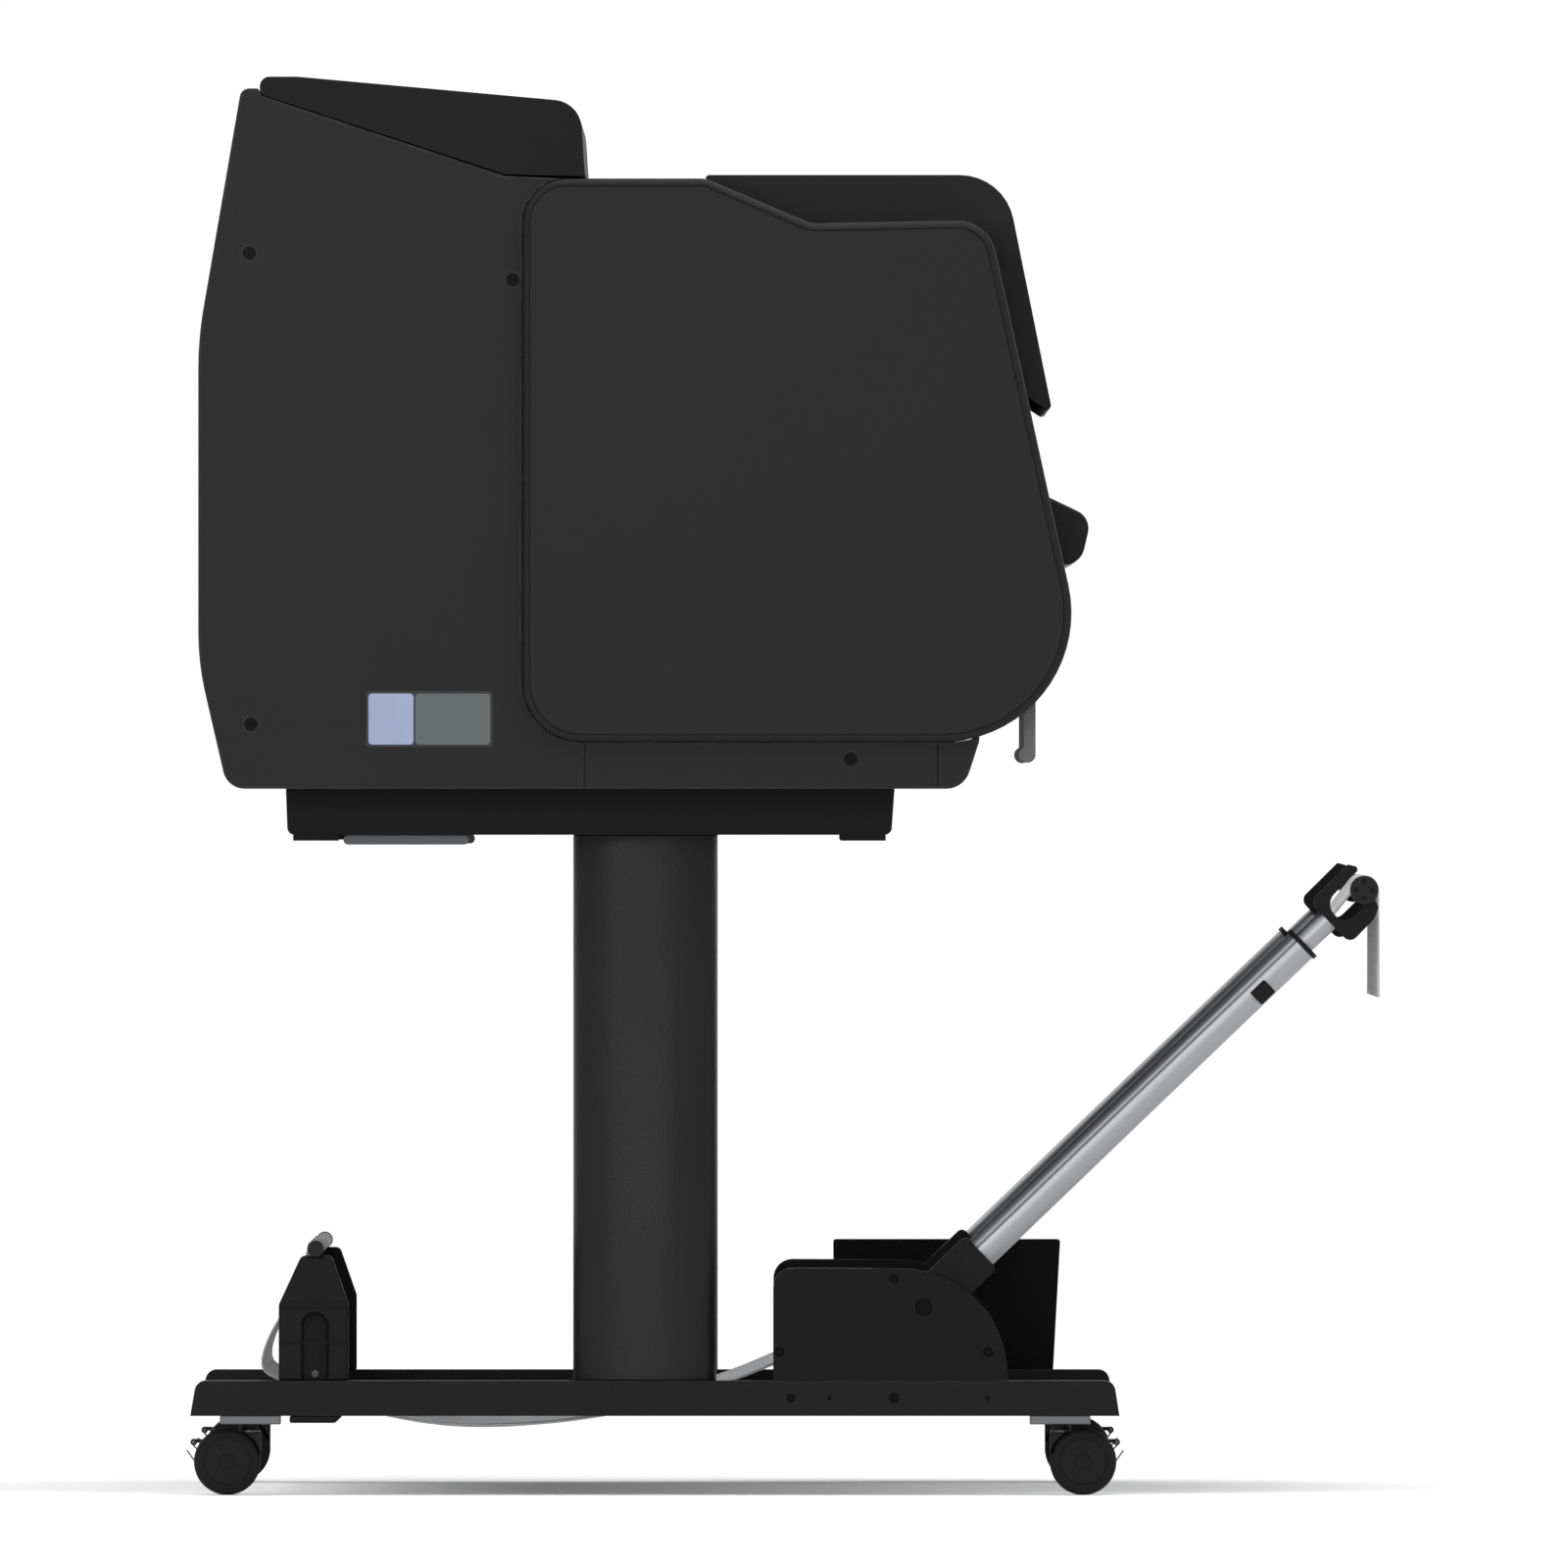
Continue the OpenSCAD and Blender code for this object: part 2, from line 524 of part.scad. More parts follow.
module operation_panel() color([0.1, 0.1, 0.1]) difference() {
    slab(582, 680, [[panel_y[0], 1049.05], [panel_y[1], 1046.7], [panel_y[1], 1080], [panel_y[0], 1062]]);
    key_bore(6.4);
    on_panel(631, -93) translate([-42, -30, -1.2]) cube([84, 60, 3]);
}
module power_key() color([0.5, 0.5, 0.5]) on_panel(key_pos.x, key_pos.y) translate([0, 0, -4])
    cylinder(h = 5, r = 5);

// ---- Inside -----------------------------------------------------------------------------------

// Side plates with the shafts' bores, joined by two beams
module chassis() color([0.62, 0.63, 0.65]) {
    both_sides() difference() {
        slab(deck_x, plate_x, rounded(plate_outline));
        bar_x(deck_x - 1, plate_x + 1, spindle.x, spindle.y, spindle_r + fit);
        bar_x(deck_x - 1, plate_x + 1, feed.x, feed.y, 5 + fit);
        bar_x(deck_x - 1, plate_x + 1, feed.x, pinch_z, pinch_shaft_r + fit);
    }
    for (y = [-60, 400]) box([-deck_x, deck_x], [y, y + 30], [bottom_z + wall, bottom_z + wall + 50]);
}

// Ribbed table under the print line
module platen() color([0.2, 0.2, 0.2]) {
    box([-deck_x, deck_x], [-114, 22], [866, 882]);
    for (x = [-500:40:500]) box([x - 1.5, x + 1.5], [-112, 20], [882, 885]);
}

module feed_roller() color([0.3, 0.3, 0.3]) {
    bar_x(-plate_x, plate_x, feed.x, feed.y, 5);
    bar_x(-500, 500, feed.x, feed.y, feed_r);
}

module pinch_rollers() color([0.35, 0.35, 0.35]) {
    bar_x(-plate_x, plate_x, feed.x, pinch_z, pinch_shaft_r);
    for (x = [-450:100:450]) bar_x(x - 20, x + 20, feed.x, pinch_z, pinch_r);
}

module carriage_rail() color([0.7, 0.7, 0.72]) difference() {
    box([-deck_x, deck_x], rail_y, [950, rail_top]);
    box([-deck_x - 1, deck_x + 1], [rail_y[0] + 3, rail_y[1] - 3], [949, rail_top - 3]);
}

// Print head carriage that hooks over the rail, parked at the right end
module carriage() color([0.2, 0.2, 0.21]) {
    box([395, 545], [-95, rail_y[0] - slip], [890, rail_top + slip]);
    box([395, 545], [-95, rail_y[1] + 3], [rail_top + slip, rail_top + 7]);
}

// Belt loop, its motor with the shaft on which the pulley turns, and the tension post
module carriage_drive() color([0.15, 0.15, 0.15]) {
    belt_h = 10;
    translate([0, belt_y, belt_z + 1]) linear_extrude(belt_h) difference() {
        belt_area(belt_r + 1.5);
        belt_area(belt_r);
    }
    for (x = [-motor_x, motor_x]) box([x - 24, x + 24], [rail_y[1], 84], [970, 973]);
    translate([-motor_x, belt_y, 930]) cylinder(h = 40, r = 15.5);
    translate([-motor_x, belt_y, 973]) cylinder(h = 14, r = 3);
    translate([motor_x, belt_y, 973]) cylinder(h = 14, r = belt_r - 0.2);
}
module belt_area(r) {
    square([2 * motor_x, 2 * r], center = true);
    for (x = [-motor_x, motor_x]) translate([x, 0]) circle(r);
}
module drive_pulley() color([0.6, 0.6, 0.6]) translate([-motor_x, belt_y, belt_z]) difference() {
    cylinder(h = 12, r = belt_r - 0.3);
    translate([0, 0, -1]) cylinder(h = 14, r = 3 + fit);
}

// Shaft with a flange for each end of the paper roll
module roll_spindle() color([0.25, 0.25, 0.26]) {
    bar_x(-plate_x, plate_x, spindle.x, spindle.y, spindle_r);
    for (x = [-484, 472]) bar_x(x, x + 12, spindle.x, spindle.y, flange_r);
    for (x = [-472, 452]) bar_x(x, x + 20, spindle.x, spindle.y, 25);
}

// Three ink tanks on the shelf of each end unit
module ink_tanks() color([0.75, 0.77, 0.8]) both_sides() for (i = [0:2])
    translate([end_in_x + 10 + i * tank_pitch, 0, 850]) {
        slab(0, tank_w, rounded([[-60, 0, 6], [120, 0, 6], [120, 168, 10], [-60, 168, 10]], 4));
    }

module maintenance_cartridge() color([0.2, 0.2, 0.2]) {
    box([end_in_x + 8, end_x - wall - 1], [-60, 60], [646, 730]);
    box([end_x - wall - 1, end_x], [-64, 64], [646, 734]);
}

// Inlet for a mains lead in the rear wall
module power_inlet() color([0.05, 0.05, 0.05]) {
    difference() {
        box([385, 415], [466, 485], [705, 729]);
        box([388, 412], [471, 486], [708, 726]);
    }
    for (x = [393, 400, 407]) box([x - 1, x + 1], [471, 478], [x == 400 ? 718 : 713, x == 400 ? 723 : 718]);
}

foot_rails();
column_left();
column_right();
cross_stay();
screws();
caster_plates();
caster_fork_fl();
caster_fork_fr();
caster_fork_rl();
caster_fork_rr();
caster_wheel_fl();
caster_wheel_fr();
caster_wheel_rl();
caster_wheel_rr();
brake_pedal_fl();
brake_pedal_fr();
brake_pedal_rl();
brake_pedal_rr();
arm_hubs();
rear_towers();
rear_rod();
arm_sockets();
arm_tubes();
inner_tubes();
rod_holders();
front_rod();
release_button_left();
release_button_right();
basket_cloth_rear();
basket_cloth_front();
accessory_pocket();
base_tray();
rear_cover();
side_panel_left();
side_panel_right();
end_cover_left();
end_cover_right();
ink_lid_left();
ink_lid_right();
front_panel();
feed_deck();
top_cover();
cover_window();
roll_cover();
exit_guide();
rod_hooks();
operation_panel();
power_key();
chassis();
platen();
feed_roller();
pinch_rollers();
carriage_rail();
carriage();
carriage_drive();
drive_pulley();
roll_spindle();
ink_tanks();
maintenance_cartridge();
power_inlet();
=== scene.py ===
# %% [markdown]
# # A large format plotter on its rolling stand
# The frame holds every part at its true size and place. This script gives the parts their finish:
# it rounds their edges, adds the pieces that are too fine for the design model, and mixes a
# material for each. Everything is in metres, +Z is up, the front looks to -Y.

# %% Load the frame
import json
import bmesh
import bpy
import numpy as np
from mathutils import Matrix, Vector


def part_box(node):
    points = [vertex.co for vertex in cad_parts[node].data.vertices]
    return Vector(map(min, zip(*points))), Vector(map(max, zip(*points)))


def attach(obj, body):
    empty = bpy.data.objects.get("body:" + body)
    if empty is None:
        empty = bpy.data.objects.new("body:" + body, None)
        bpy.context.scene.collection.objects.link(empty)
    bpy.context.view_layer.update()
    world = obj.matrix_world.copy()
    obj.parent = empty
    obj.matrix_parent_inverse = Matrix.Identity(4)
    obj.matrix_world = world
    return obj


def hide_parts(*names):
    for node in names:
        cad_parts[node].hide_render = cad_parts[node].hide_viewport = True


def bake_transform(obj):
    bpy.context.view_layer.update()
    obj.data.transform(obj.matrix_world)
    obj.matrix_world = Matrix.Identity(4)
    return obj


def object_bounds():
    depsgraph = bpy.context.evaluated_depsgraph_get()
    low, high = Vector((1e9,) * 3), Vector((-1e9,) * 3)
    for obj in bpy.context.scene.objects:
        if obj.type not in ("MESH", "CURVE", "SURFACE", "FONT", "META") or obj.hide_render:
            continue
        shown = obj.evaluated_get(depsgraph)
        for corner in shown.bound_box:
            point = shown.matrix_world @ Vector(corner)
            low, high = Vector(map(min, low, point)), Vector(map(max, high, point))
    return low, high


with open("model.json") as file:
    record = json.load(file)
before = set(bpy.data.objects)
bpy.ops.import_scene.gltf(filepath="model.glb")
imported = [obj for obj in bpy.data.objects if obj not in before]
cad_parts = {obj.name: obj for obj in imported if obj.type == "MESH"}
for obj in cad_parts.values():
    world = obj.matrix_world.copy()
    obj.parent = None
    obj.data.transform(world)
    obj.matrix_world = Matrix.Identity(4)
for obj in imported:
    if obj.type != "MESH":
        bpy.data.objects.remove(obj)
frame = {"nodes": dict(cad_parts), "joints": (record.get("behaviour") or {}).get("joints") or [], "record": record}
CAD_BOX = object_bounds()
BODY_OF = {node: body for body, nodes in frame["record"]["behaviour"]["bodies"].items() for node in nodes}
JOINTS = {joint["name"]: joint for joint in frame["joints"]}
low, high = (np.array(corner) for corner in CAD_BOX)
print("box in metres", low.round(3), high.round(3), "nodes", len(BODY_OF))

# %% [markdown]
# ## Camera and light
# Such a machine is best shown from far away, so that its sides look square. A long lens does that.
# The light is a bright even room with three soft boxes, over the machine, beside it and behind it,
# because dark plastic shows its shape by what it reflects. A weak beam along the lens axis draws
# the pale line down each round column.

# %% Camera
FIELD = 1.304                          # width of the view at the middle of the machine, in metres
LENS = 1650.0                          # millimetres; much longer would put other views out of their range
SENSOR = 36.0
AIM = Vector((0.0, 0.0024, 0.5856))
camera = bpy.data.objects.new("side_camera", bpy.data.cameras.new("side_camera"))
bpy.context.collection.objects.link(camera)
camera.data.lens = LENS
camera.data.sensor_width = SENSOR
camera.data.clip_start = 1.0
camera.data.clip_end = 400.0
camera.location = AIM - Vector((FIELD * LENS / SENSOR, 0.0, 0.0))
camera.rotation_euler = (np.pi / 2, 0.0, -np.pi / 2)
bpy.context.scene.camera = camera
bpy.context.scene.view_settings.view_transform = "Standard"
print("camera", round(camera.location.length, 2), "m away")

# %% Light and floor
def soft_box(name, place, aim, size, power):
    """A square area light at place that looks at aim."""
    light = bpy.data.objects.new(name, bpy.data.lights.new(name, "AREA"))
    light.data.size = size
    light.data.energy = power
    light.location = place
    light.rotation_euler = (Vector(aim) - Vector(place)).to_track_quat("-Z", "Y").to_euler()
    bpy.context.collection.objects.link(light)


world = bpy.data.worlds.new("pale_room")
bpy.context.scene.world = world
world.use_nodes = True
world.node_tree.nodes["Background"].inputs["Color"].default_value = (1.0, 1.0, 1.0, 1.0)
world.node_tree.nodes["Background"].inputs["Strength"].default_value = 1.04
soft_box("top_box", (-1.4, -0.4, 3.2), (0.0, 0.0, 0.6), 2.6, 60.0)
soft_box("side_box", (-4.6, 0.9, 1.4), (0.0, 0.1, 0.5), 0.9, 26.0)
soft_box("back_box", (3.5, 3.6, 2.6), (0.0, 0.0, 0.6), 2.4, 40.0)

beam = bpy.data.objects.new("axis_beam", bpy.data.lights.new("axis_beam", "SUN"))
beam.data.energy = 0.18
beam.data.angle = np.radians(8.0)
beam.rotation_euler = (0.0, -np.pi / 2, 0.0)
bpy.context.collection.objects.link(beam)

floor_mesh = bpy.data.meshes.new("studio_floor")
FLOOR = 6.0                            # half the floor's side
floor_mesh.from_pydata([(-FLOOR, -FLOOR, 0), (FLOOR, -FLOOR, 0), (FLOOR, FLOOR, 0), (-FLOOR, FLOOR, 0)],
                       [], [(0, 1, 2, 3)])
floor = bpy.data.objects.new("studio_floor", floor_mesh)
bpy.context.collection.objects.link(floor)
FLOOR_PAINT = bpy.data.materials.new("studio_paper")
FLOOR_PAINT.use_nodes = True
paper = FLOOR_PAINT.node_tree.nodes["Principled BSDF"]
paper.inputs["Base Color"].default_value = (0.97, 0.97, 0.97, 1.0)
paper.inputs["Roughness"].default_value = 0.9
paper.inputs["Specular IOR Level"].default_value = 0.0
floor_mesh.materials.append(FLOOR_PAINT)
print("floor", 2 * FLOOR, "m square")

# %% [markdown]
# ## Effects that several finishes share
# Each effect is a node group with named sockets, so a material only says how strong it is.
# *Moulded grain* is the fine pebbled skin that a mould's etched wall gives to plastic.
# *Edge wear* compares the true normal with one that is rounded over a small radius: they differ
# only at edges, where paint and plastic rub shiny; on the casings, with a wide radius, the same mask
# paints a highlight along the rims. *Dust* lies on what looks up, in soft patches.

# %% Helpers for node groups
def group_of(name, inputs, outputs):
    """An empty node group; inputs are (name, default) and outputs (name, kind)."""
    tree = bpy.data.node_groups.new(name, "ShaderNodeTree")
    for label, value in inputs:
        socket = tree.interface.new_socket(label, in_out="INPUT", socket_type="NodeSocketFloat")
        socket.default_value = value
    for label, kind in outputs:
        tree.interface.new_socket(label, in_out="OUTPUT", socket_type="NodeSocket" + kind)
    return tree, tree.nodes.new("NodeGroupInput"), tree.nodes.new("NodeGroupOutput")


def add(tree, kind, links=None, **settings):
    """Adds a node, sets its properties, and links or sets its inputs by name or number."""
    made = tree.nodes.new("ShaderNode" + kind)
    for key, value in settings.items():
        setattr(made, key, value)
    for key, value in (links or {}).items():
        if isinstance(value, bpy.types.NodeSocket):
            tree.links.new(value, made.inputs[key])
        else:
            made.inputs[key].default_value = value
    return made


def maths(tree, operation, a, b=0.0, clamp=False):
    """One Math node and its output."""
    return add(tree, "Math", {0: a, 1: b}, operation=operation, use_clamp=clamp).outputs[0]


def between(tree, value, lo, hi, out_lo=0.0, out_hi=1.0):
    """A clamped Map Range from lo..hi to out_lo..out_hi."""
    return add(tree, "MapRange", {"Value": value, "From Min": lo, "From Max": hi,
                                  "To Min": out_lo, "To Max": out_hi}).outputs["Result"]


# %% Moulded grain
def make_grain():
    """Height = cells of one size plus noise of twice that size; Patch = slow noise for gloss."""
    tree, given, out = group_of("moulded_grain", [("Scale", 900.0)],
                                [("Height", "Float"), ("Patch", "Float")])
    place = add(tree, "TexCoord").outputs["Object"]
    cells = add(tree, "TexVoronoi", {"Vector": place, "Scale": given.outputs["Scale"]}, feature="SMOOTH_F1")
    half = maths(tree, "MULTIPLY", given.outputs["Scale"], 0.5)
    rough = add(tree, "TexNoise", {"Vector": place, "Scale": half, "Detail": 2.0})
    slow = add(tree, "TexNoise", {"Vector": place, "Scale": 6.0, "Detail": 3.0})
    height = maths(tree, "ADD", cells.outputs["Distance"], rough.outputs["Fac"])
    tree.links.new(height, out.inputs["Height"])
    tree.links.new(between(tree, slow.outputs["Fac"], 0.35, 0.65), out.inputs["Patch"])
    return tree


# %% Edge wear
def make_wear_and_rim_highlight():
    """Mask = how far the rounded normal leans from the true one, broken up by noise."""
    tree, given, out = group_of("edge_wear", [("Radius", 0.0015), ("Strength", 0.5)], [("Mask", "Float")])
    rounded = add(tree, "Bevel", {"Radius": given.outputs["Radius"]}, samples=4)
    true = add(tree, "NewGeometry").outputs["Normal"]
    same = add(tree, "VectorMath", {0: rounded.outputs["Normal"], 1: true}, operation="DOT_PRODUCT")
    lean = between(tree, same.outputs["Value"], 0.995, 0.80)
    place = add(tree, "TexCoord").outputs["Object"]
    breaks = add(tree, "TexNoise", {"Vector": place, "Scale": 45.0, "Detail": 4.0})
    patchy = between(tree, breaks.outputs["Fac"], 0.38, 0.62, 0.25, 1.0)
    mask = maths(tree, "MULTIPLY", maths(tree, "MULTIPLY", lean, patchy), given.outputs["Strength"], True)
    tree.links.new(mask, out.inputs["Mask"])
    return tree


# %% Dust
def make_dust():
    """Mask = the upward part of the normal times soft noise."""
    tree, given, out = group_of("dust", [("Amount", 0.3)], [("Mask", "Float")])
    normal = add(tree, "SeparateXYZ", {0: add(tree, "NewGeometry").outputs["Normal"]}).outputs["Z"]
    place = add(tree, "TexCoord").outputs["Object"]
    drift = add(tree, "TexNoise", {"Vector": place, "Scale": 9.0, "Detail": 5.0, "Roughness": 0.6})
    cover = maths(tree, "MULTIPLY", between(tree, normal, 0.45, 1.0),
                  between(tree, drift.outputs["Fac"], 0.3, 0.75))
    tree.links.new(maths(tree, "MULTIPLY", cover, given.outputs["Amount"], True), out.inputs["Mask"])
    return tree


# %% Drawn metal
def make_drawn():
    """Lines = noise stretched along one object axis by a Mapping, for extruded and brushed metal."""
    tree, given, out = group_of("drawn_lines", [("Along X", 1.0), ("Along Y", 1.0), ("Along Z", 1.0),
                                                ("Turn", 0.0)], [("Lines", "Float")])
    place = add(tree, "TexCoord").outputs["Object"]
    turn = add(tree, "CombineXYZ", {"X": given.outputs["Turn"]}).outputs[0]
    sizes = add(tree, "CombineXYZ", {"X": given.outputs["Along X"], "Y": given.outputs["Along Y"],
                                     "Z": given.outputs["Along Z"]}).outputs[0]
    turned = add(tree, "VectorRotate", {"Vector": place, "Rotation": turn}, rotation_type="EULER_XYZ")
    laid = add(tree, "VectorMath", {0: turned.outputs[0], 1: sizes}, operation="MULTIPLY").outputs[0]
    lines = add(tree, "TexNoise", {"Vector": laid, "Scale": 1.0, "Detail": 4.0, "Roughness": 0.7})
    tree.links.new(lines.outputs["Fac"], out.inputs["Lines"])
    return tree


# %% Weave
def make_weave():
    """Height = threads over and under each other, plus a rib of thicker threads each few millimetres."""
    tree, given, out = group_of("weave", [("Pitch", 0.0012), ("Rib", 0.008)],
                                [("Height", "Float"), ("Rib", "Float")])
    laid = add(tree, "SeparateXYZ", {0: add(tree, "TexCoord").outputs["UV"]})

    def wave(pitch):
        """The product of a sine across and a sine along, both of this pitch."""
        rate = maths(tree, "DIVIDE", 2.0 * np.pi, pitch)
        return [maths(tree, "SINE", maths(tree, "MULTIPLY", laid.outputs[axis], rate)) for axis in ("X", "Y")]

    across, along = wave(given.outputs["Pitch"])
    thread = maths(tree, "MULTIPLY", across, along)
    rib_across, rib_along = wave(given.outputs["Rib"])
    rib = maths(tree, "MAXIMUM", between(tree, rib_across, 0.9, 1.0), between(tree, rib_along, 0.9, 1.0))
    tree.links.new(maths(tree, "ADD", thread, rib), out.inputs["Height"])
    tree.links.new(rib, out.inputs["Rib"])
    return tree


GRAIN, WEAR_AND_RIM_HIGHLIGHT, DUST, DRAWN, WEAVE = make_grain(), make_wear_and_rim_highlight(), make_dust(), make_drawn(), make_weave()


def place_group(tree, group, **values):
    """A group node in a material, with its inputs set by name (an underscore stands for a space)."""
    made = tree.nodes.new("ShaderNodeGroup")
    made.node_tree = group
    for key, value in values.items():
        made.inputs[key.replace("_", " ")].default_value = value
    return made


def mix_colour(tree, mask, a, b):
    """Colour a where the mask is 0 and b where it is 1."""
    made = add(tree, "Mix", {"Factor": mask}, data_type="RGBA")
    for socket, value in ((made.inputs[6], a), (made.inputs[7], b)):
        if isinstance(value, bpy.types.NodeSocket):
            tree.links.new(value, socket)
        else:
            socket.default_value = (*value, 1.0)
    return made.outputs[2]


def new_material(name):
    """A material with a Principled BSDF; returns it, its tree and the shader."""
    material = bpy.data.materials.new(name)
    material.use_nodes = True
    return material, material.node_tree, material.node_tree.nodes["Principled BSDF"]


# %% [markdown]
# ## Moulded plastic
# The casings are dark grey plastic with an etched grain. The colour drifts a little from patch to
# patch, the edges are lighter by wear and, on the casings, by a painted highlight along the rims,
# and a trace of dust lies on top. One function makes all the plastics, because on the real machine
# they differ only in shade, gloss and grain.

# %% Plastics
def plastic(name, shade, rough, grain=900.0, depth=0.12, wear_and_rim_highlight=0.35, dust=0.12, specular=0.5, edge=0.0012):
    """Base colour = shade, lighter by patch, at the edges and by dust; roughness falls where it is worn. The
    lighter edges are worn plastic, and where edge is wide, as on the casings, a painted rim highlight.
    """
    material, tree, shader = new_material(name)
    skin = place_group(tree, GRAIN, Scale=grain)
    worn = place_group(tree, WEAR_AND_RIM_HIGHLIGHT, Radius=edge, Strength=wear_and_rim_highlight).outputs["Mask"]
    lying = place_group(tree, DUST, Amount=dust).outputs["Mask"]
    shade = np.array(shade)
    patchy = mix_colour(tree, skin.outputs["Patch"], shade * 0.92, shade * 1.08)
    # Lighter at the edges: wear, and on the casings, with their wide edge radius, a painted highlight along the
    # rims.
    lighter_edges = mix_colour(tree, worn, patchy, shade * 3.0 + 0.012)
    dusted = mix_colour(tree, lying, lighter_edges, (0.06, 0.058, 0.055))
    tree.links.new(dusted, shader.inputs["Base Color"])
    gloss = between(tree, skin.outputs["Patch"], 0.0, 1.0, rough - 0.03, rough + 0.03)
    smoothed = maths(tree, "SUBTRACT", gloss, maths(tree, "MULTIPLY", worn, 0.12))
    tree.links.new(smoothed, shader.inputs["Roughness"])
    bump = add(tree, "Bump", {"Height": skin.outputs["Height"], "Strength": depth, "Distance": 0.0003})
    tree.links.new(bump.outputs["Normal"], shader.inputs["Normal"])
    shader.inputs["Specular IOR Level"].default_value = specular
    return material


# The casings' wide edge radius and strong edge mask give them a painted highlight along their rims.
CASING = plastic("casing_grey", (0.0066, 0.0067, 0.0070), 0.5, wear_and_rim_highlight=0.6, specular=0.13, edge=0.0045)
COVER = plastic("cover_charcoal", (0.0050, 0.0050, 0.0053), 0.42, grain=1200.0, depth=0.08, specular=0.11)
ROLL_COVER = plastic("roll_cover_black", (0.0038, 0.0038, 0.0040), 0.45, grain=1200.0, depth=0.08,
                     specular=0.08)
TRAY_BLACK = plastic("tray_black", (0.0042, 0.0042, 0.0044), 0.5, grain=900.0, wear_and_rim_highlight=0.25, specular=0.07)
BLACK = plastic("moulded_black", (0.0040, 0.0040, 0.0042), 0.5, grain=700.0, wear_and_rim_highlight=0.25, specular=0.09)
# The pocket's own plastic; also the colour of the painted shade in the end covers' groove and the side panels'
# seams.
POCKET_BLACK_AND_GAP_SHADE = plastic("pocket_black", (0.0046, 0.0046, 0.0048), 0.55, grain=700.0, wear_and_rim_highlight=0.15, specular=0.06)
HUB_BLACK = plastic("hub_black", (0.0042, 0.0042, 0.0045), 0.48, grain=800.0, wear_and_rim_highlight=0.3, specular=0.075)
CASTER_BLACK = plastic("caster_black", (0.0055, 0.0055, 0.0058), 0.45, grain=700.0, specular=0.11)
GREY = plastic("peg_grey", (0.076, 0.076, 0.079), 0.45, wear_and_rim_highlight=0.2, specular=0.3)
RUBBER = plastic("caster_rubber", (0.0065, 0.0065, 0.0068), 0.6, grain=500.0, depth=0.2, wear_and_rim_highlight=0.1, dust=0.25,
                 specular=0.1)
SCREW_BLACK = plastic("screw_black", (0.0012, 0.0012, 0.0012), 0.4, grain=2000.0, depth=0.03, wear_and_rim_highlight=0.1,
                      dust=0.0, specular=0.05)

# %% [markdown]
# ## Painted and bare metal
# The stand is steel under a textured powder coat: a bubbly skin with a soft gloss. The basket's
# arms are drawn aluminium with a clear anodised surface, so fine lines run along them. The arms
# lie at an angle, so the pattern is turned with them by a value at the group's input.

# %% Metals
def painted(name, shade, rough, scale=420.0, depth=0.25, specular=0.14):
    """Powder coat: coarse smooth grain, worn to primer grey at the edges."""
    material, tree, shader = new_material(name)
    skin = place_group(tree, GRAIN, Scale=scale)
    worn = place_group(tree, WEAR_AND_RIM_HIGHLIGHT, Radius=0.0015, Strength=0.35).outputs["Mask"]
    lying = place_group(tree, DUST, Amount=0.2).outputs["Mask"]
    shade = np.array(shade)
    patchy = mix_colour(tree, skin.outputs["Patch"], shade * 0.93, shade * 1.07)
    lighter_edges = mix_colour(tree, worn, patchy, (0.045, 0.045, 0.047))
    tree.links.new(mix_colour(tree, lying, lighter_edges, (0.06, 0.058, 0.055)), shader.inputs["Base Color"])
    gloss = between(tree, skin.outputs["Patch"], 0.0, 1.0, rough - 0.04, rough + 0.04)
    tree.links.new(gloss, shader.inputs["Roughness"])
    bump = add(tree, "Bump", {"Height": skin.outputs["Height"], "Strength": depth, "Distance": 0.0004})
    tree.links.new(bump.outputs["Normal"], shader.inputs["Normal"])
    shader.inputs["Specular IOR Level"].default_value = specular
    return material


def metal(name, shade, rough, along, turn=0.0, depth=0.04, streak=0.09):
    """Bare metal whose lines run along the axis with the smallest of the three rates."""
    material, tree, shader = new_material(name)
    lines = place_group(tree, DRAWN, Along_X=along[0], Along_Y=along[1], Along_Z=along[2], Turn=turn)
    worn = place_group(tree, WEAR_AND_RIM_HIGHLIGHT, Radius=0.001, Strength=0.3).outputs["Mask"]
    shade = np.array(shade)
    streaked = mix_colour(tree, between(tree, lines.outputs["Lines"], 0.3, 0.7),
                          shade * (1.0 - streak), shade * (1.0 + streak))
    lighter_edges = mix_colour(tree, worn, streaked, np.minimum(shade * 1.3, 1.0))
    tree.links.new(lighter_edges, shader.inputs["Base Color"])
    gloss = between(tree, lines.outputs["Lines"], 0.3, 0.7, rough - 0.06, rough + 0.06)
    tree.links.new(gloss, shader.inputs["Roughness"])
    shader.inputs["Metallic"].default_value = 1.0
    bump = add(tree, "Bump", {"Height": lines.outputs["Lines"], "Strength": depth, "Distance": 0.0002})
    tree.links.new(bump.outputs["Normal"], shader.inputs["Normal"])
    return material


ARM_TURN = float(np.arctan2(JOINTS["arm_extend"]["axis"][2], -JOINTS["arm_extend"]["axis"][1]))
STAND = painted("powder_coat", (0.0048, 0.0048, 0.0051), 0.46, specular=0.10)
COLUMN = painted("column_coat", (0.0066, 0.0066, 0.0069), 0.36, specular=0.145)
ROD_PAINT = painted("rod_paint", (0.004, 0.004, 0.0042), 0.4, scale=900.0, depth=0.1, specular=0.12)
ALU = metal("arm_aluminium", (0.27, 0.275, 0.285), 0.42, (500.0, 6.0, 500.0), turn=ARM_TURN,
            depth=0.004, streak=0.03)
ZINC = metal("zinc_plate", (0.10, 0.104, 0.108), 0.42, (30.0, 900.0, 900.0))
SHEET_STEEL = metal("sheet_steel", (0.48, 0.49, 0.5), 0.36, (900.0, 20.0, 900.0))
print("arms lie at", round(np.degrees(ARM_TURN), 1), "degrees")

